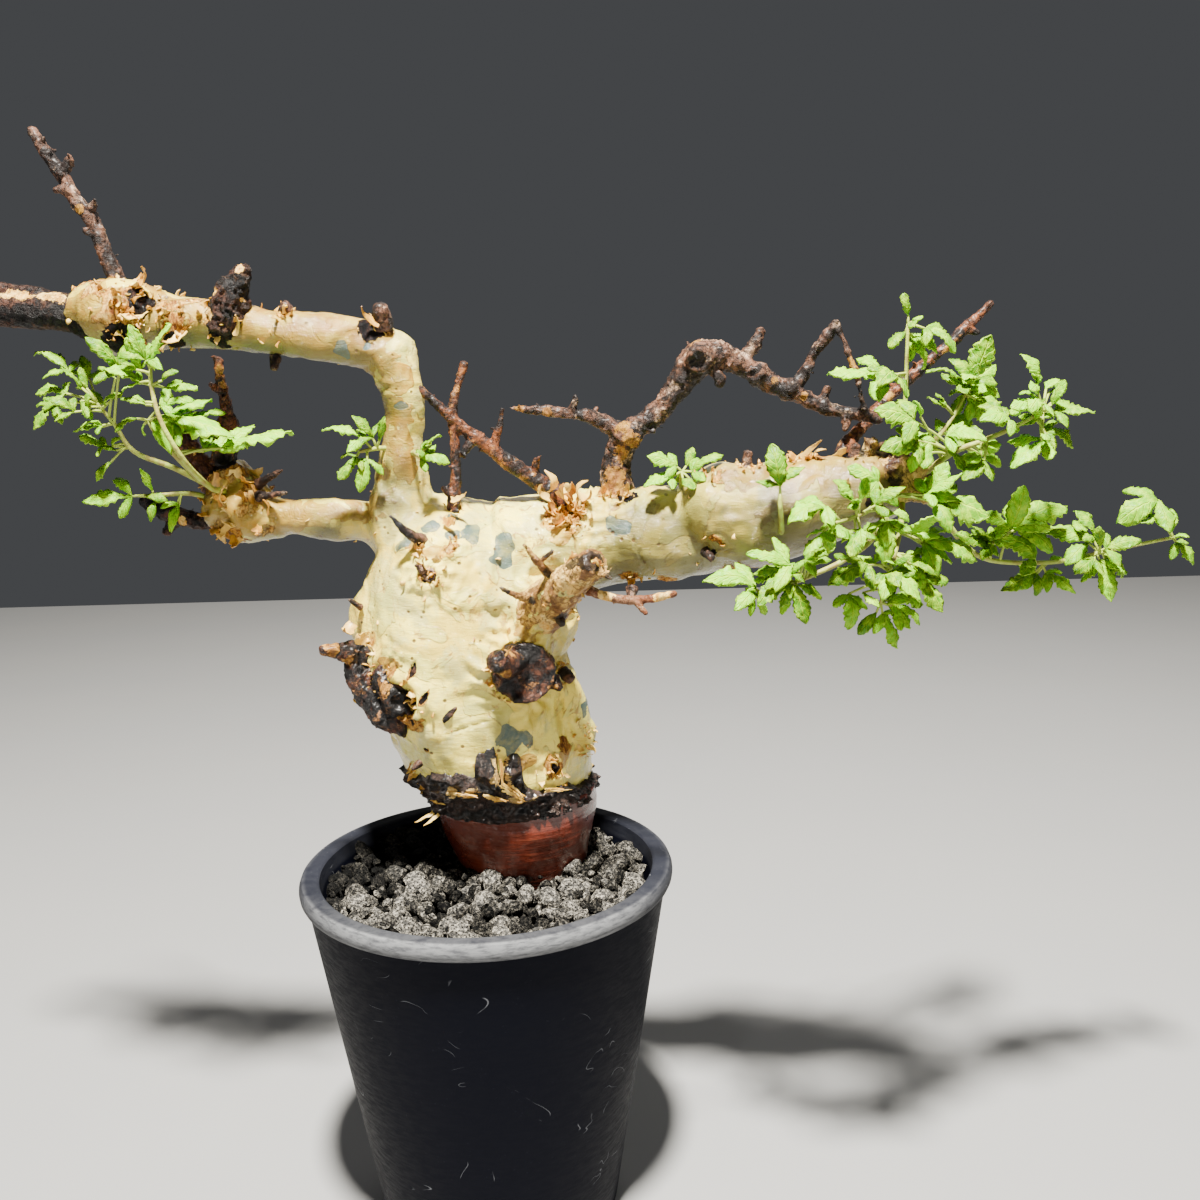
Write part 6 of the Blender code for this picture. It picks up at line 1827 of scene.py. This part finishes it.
def make_gravel():
    """The fill of the pot: a plain bed, covered with lava grains of many sizes."""
    draw = random.Random(SEED)
    foot = POT_FLOOR + 0.4
    levels = (BED_SIDE, *np.linspace(BED_SIDE - 4, foot, 8))
    outside = [(inner_radius(height) - BED_GAP, height) for height in levels]
    profile = [(0.5, BED_SIDE + 1), (30, BED_SIDE + 1), (60, BED_SIDE), *outside, (20, foot)]
    bed = Form()
    turned(bed, profile[::-1], BED_STEPS, tone=0.1)
    body = bed.thing("gravel_bed")
    body.data.materials.append(LAVA)
    shapes = shape_set("lava_grain", [grain_form(draw) for _ in range(GRAIN_SHAPES)])
    pieces = [body]
    for height, distance, sizes, seed in GRAVEL_LAYERS:
        radii = (*LAYER_RADII, inner_radius(height) - LAYER_INSET)
        heights = [height + LAYER_CROWN * (1 - r / POT_MOUTH_RADIUS) for r in radii]
        rings = [circle(r, z, LAYER_STEPS) for r, z in zip(radii, heights)]
        disc = Form()
        disc.add(np.vstack(rings), ring_faces(len(rings), LAYER_STEPS, flip=True))
        surface = disc.thing("gravel_layer")
        pieces.append(scattered(
            f"grains_{seed}", surface, shapes, LAVA, most=1e6, distance=distance, sizes=sizes,
            lean=GRAIN_LEAN, draw=seed,
        ))
        bpy.data.objects.remove(surface, do_unlink=True)
    drop(shapes)
    return joined("gravel_fill", pieces)


def make_crown():
    form = Form()
    rod(form, CROWN, sides=96, step=1.2)
    crown = form.thing("root_crown_bark")
    points = spots_of(crown.data)
    rings = np.sin(points[:, 2] * 1.9 + 2 * clouds(points, 12, 21))
    lift = 0.9 * clouds(points, 22, 20) + 0.35 * clouds(points, 7, 22) + 0.1 * rings
    move_to(crown.data, points + normals_of(crown.data) * lift[:, None])
    return crown


def round_middle(far, ways, height):
    """Points at distances and heights, the given ways from the bark's middle."""
    return np.stack([BARK_MIDDLE[0] + far * ways[:, 0], BARK_MIDDLE[1] + far * ways[:, 1], height], 1)


def along_edge(turn, size, seed):
    """Noise along the bark's edge, with bumps of about the given size in degrees."""
    return clouds(np.stack([turn / size, turn * 0, turn * 0], 1), 1.0, seed)


def make_old_bark(skin):
    """A cracked band of old bark on the foot of the skin, with a torn upper edge."""
    turn = np.linspace(-180, 180, BARK_STEPS, endpoint=False)
    angle = np.radians(turn)
    ways = np.stack([np.cos(angle), np.sin(angle), 0 * angle], 1)
    angles, heights = np.array(BARK_TOPS).T
    top = np.interp(turn, angles, heights)
    top += 1.6 * along_edge(turn, 4, 31) + 1.0 * along_edge(turn, 1.6, 32)
    foot = BARK_FOOT + 0.6 * along_edge(turn, 3, 33)
    outer = []
    inner = []
    for s in np.linspace(0, 1, BARK_LEVELS):
        height = foot + (top - foot) * s
        far = np.full(BARK_STEPS, BARK_RADIUS)
        for i, start in enumerate(round_middle(BARK_FAR, ways, height)):
            hit = skin.ray_cast(Vector(start) * MM, Vector(-ways[i]))[0]
            if hit is not None:
                far[i] = max(far[i], np.linalg.norm(np.array(hit)[:2] / MM - BARK_MIDDLE))
        spots = np.stack([ways[:, 0] * BARK_ROUND, ways[:, 1] * BARK_ROUND, height], 1)
        block = clouds(spots * (1, 1, 0.8), 6.0, 34) + 0.4 * clouds(spots, 3.0, 37)
        plates = clouds(spots * (1, 1, 2.2), 5.0, 38)
        seams = 1 - valleys(spots, 5.0, 0.6, 36, 0.2)
        seams *= 1 - 0.7 * np.exp(-((plates / 0.16) ** 2))
        relief = BARK_PROUD + 1.0 * np.tanh(4.0 * block) + 0.6 * np.tanh(4.0 * plates)
        relief += 0.9 * clouds(spots, 1.9, 35) + 0.5 * clouds(spots * (1, 1, 1.6), 1.1, 39)
        relief = relief * (0.3 + 0.7 * seams)
        relief *= 1 - 0.6 * near(round_middle(far, ways, height), TORN_SPOTS, 0.5, 2.0)
        edge = np.clip((1 - s) * 9, 0, 1) * np.clip(s * 9, 0.5, 1)
        outer.append(round_middle(far + relief * edge, ways, height))
        inner.append(round_middle(far - BARK_DEEP, ways, height))
    layers = outer + inner[::-1]
    form = Form()
    form.add(np.vstack(layers), ring_faces(len(layers), BARK_STEPS, closed=True))
    bark = form.thing("old_bark_band")
    store(bark.data, "torn", near(spots_of(bark.data), TORN_SPOTS, 0.5, 2.0))
    return bark


# The floor, the camera and the lights


def make_floor():
    half = FLOOR_SIZE / MM / 2
    form = Form()
    form.add(((-half, -half, 0), (half, -half, 0), (half, half, 0), (-half, half, 0)), ((0, 1, 2, 3),))
    floor = form.thing("floor")
    floor.data.materials.append(material("pale floor", floor_look))
    return floor


def make_camera():
    camera = linked("photo camera", adjusted(
        bpy.data.cameras.new("photo camera"), lens=CAMERA_LENS, sensor_width=CAMERA_SENSOR,
        sensor_fit="HORIZONTAL", clip_start=0.01,
    ))
    ahead = Vector((0, math.cos(CAMERA_TILT), -math.sin(CAMERA_TILT)))
    right = Vector((1, 0, 0))
    above = right.cross(ahead)
    turned_right = right * math.cos(CAMERA_ROLL) - above * math.sin(CAMERA_ROLL)
    turned_up = right * math.sin(CAMERA_ROLL) + above * math.cos(CAMERA_ROLL)
    axes = Matrix((turned_right, turned_up, -ahead)).transposed()
    camera.matrix_world = Matrix.Translation(CAMERA_SPOT) @ axes.to_4x4()
    bpy.context.scene.camera = camera


def make_lights():
    for i, (spot, target, width, watts, colour) in enumerate(LIGHTS):
        data = bpy.data.lights.new(f"soft light {i + 1}", "AREA")
        light = linked(data.name, adjusted(data, shape="DISK", size=width, energy=watts, color=colour))
        light.location = spot
        light.rotation_euler = (Vector(target) - Vector(spot)).to_track_quat("-Z", "Y").to_euler()
    world = bpy.data.worlds.new("pale room")
    world.use_nodes = True
    sky = world.node_tree.nodes["Background"]
    sky.inputs["Color"].default_value = (*WORLD_PALE, 1)
    sky.inputs["Strength"].default_value = WORLD_STRENGTH
    bpy.context.scene.world = world


# The pieces

PIECES = []
SCATTER = scatter_tree()
ROUGH_BARK = effect(
    "Rough bark", {"Scale": 200.0, "Dark": TWIG_DARK, "Middle": TWIG_BROWN, "Light": TWIG_PINK},
    ("Colour", "Height", "Roughness"), rough_bark,
)
FIBRES = effect(
    "Torn fibres", {"Scale": 300.0, "Dark": RUST_DEEP, "Light": RUST_LIGHT}, ("Colour", "Height"),
    fibre_lines,
)
LAVA = material("lava grains", lava_look)
SKIN = material("commiphora skin", skin_look)
FLAKE = material("papery flakes", flake_look)
LEAF = material("commiphora leaves", leaf_look)
WOOD_LOOKS = {key: material(name, bark_look(*look)) for key, (name, *look) in BARKS.items()}


def dressed(obj, finish, body_slot, *nodes, smooth=0):
    """Gives a finished piece its material and its shading, and lists it for its slot and nodes."""
    if not any(obj.data.materials):
        obj.data.materials.clear()
        obj.data.materials.append(finish)
    obj.data.shade_smooth()
    if smooth:
        obj.data.set_sharp_from_angle(angle=math.radians(smooth))
    PIECES.append((obj, body_slot, nodes))


def flake_form(draw):
    """A small ragged curl of bark, 1 mm long, rooted at the origin and standing out along +Z."""
    form = Form()
    tip = (draw.uniform(0.3, 0.9), 0, 1)
    width = draw.uniform(0.5, 1.3)
    turn = draw.uniform(0.6, 2.2)
    curl(form, (0, 0, 0), tip, width, turn, draw, thickness=0.12, rows=4, columns=3)
    return form


def make_plant():
    """The trunk with all that grows on it. It returns the skin, as a tree to cast rays at."""
    trunk = make_trunk()
    draw = random.Random(SEED)
    shapes = shape_set("peel_flake", [flake_form(draw) for _ in range(FLAKE_SHAPES)])
    flakes = scattered(
        "peel_flakes", trunk, shapes, FLAKE, most=1.6e5, distance=2.0, sizes=FLAKE_SIZES,
        lean=FLAKE_LEAN, draw=4, where="peel",
    )
    drop(shapes)
    dressed(flakes, FLAKE, "trunk")
    dressed(trunk, SKIN, "trunk", "trunk")
    skin = BVHTree.FromObject(trunk, bpy.context.evaluated_depsgraph_get())
    form = Form()
    for root, end, width, turn in CURLS:
        curl(form, root, end, width * CURL_WIDTH, turn, draw)
    for cluster in PEELING:
        peeling(form, skin, *cluster, draw)
    for start, end, count, spread in STRANDS:
        for _ in range(count):
            strand(form, skin, start, end, spread, draw)
    dressed(form.thing("bark_curls"), FLAKE, "trunk", smooth=60)
    thorns = make_wood("trunk_thorns", THORNS, *THORN_WOOD)
    dressed(thorns, WOOD_LOOKS["brown_twig"], "brown_twig")
    front = make_wood("front_branch_bark", FRONT_BARK, *FRONT_WOOD, end=FLAT_END)
    dressed(front, WOOD_LOOKS["golden"], "trunk")
    for seed, (name, (*wood, slot)) in enumerate(WOOD.items(), 100):
        end = FLAT_END if name in CUT_FLAT else ROUND_END
        bark = make_wood(name + "_bark", *wood, seed, end)
        dressed(bark, WOOD_LOOKS[OTHER_LOOKS.get(name, slot)], slot, name)
    facing_draw = random.Random(SEED)
    for name, (stem, leaves) in SHOOTS.items():
        shoot = make_shoot(name, stem, leaves, facing_draw, draw, LEAVES_MORE.get(name, 2))
        dressed(shoot, LEAF, "foliage", name)
    return skin


floor = make_floor()
make_camera()
make_lights()
skin_tree = make_plant()
dressed(make_pot(), material("matt black plastic", pot_look), "pot", "pot", smooth=35)
dressed(make_gravel(), LAVA, "gravel", "lava_gravel", smooth=30)
dressed(make_crown(), material("glossy crown bark", crown_look), "root_crown", "root_crown")
dressed(make_old_bark(skin_tree), material("old black bark", old_bark_look), "old_bark", "old_bark")

for piece, slot, nodes in PIECES:
    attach(piece, "root")
    if nodes:
        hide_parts(*nodes)
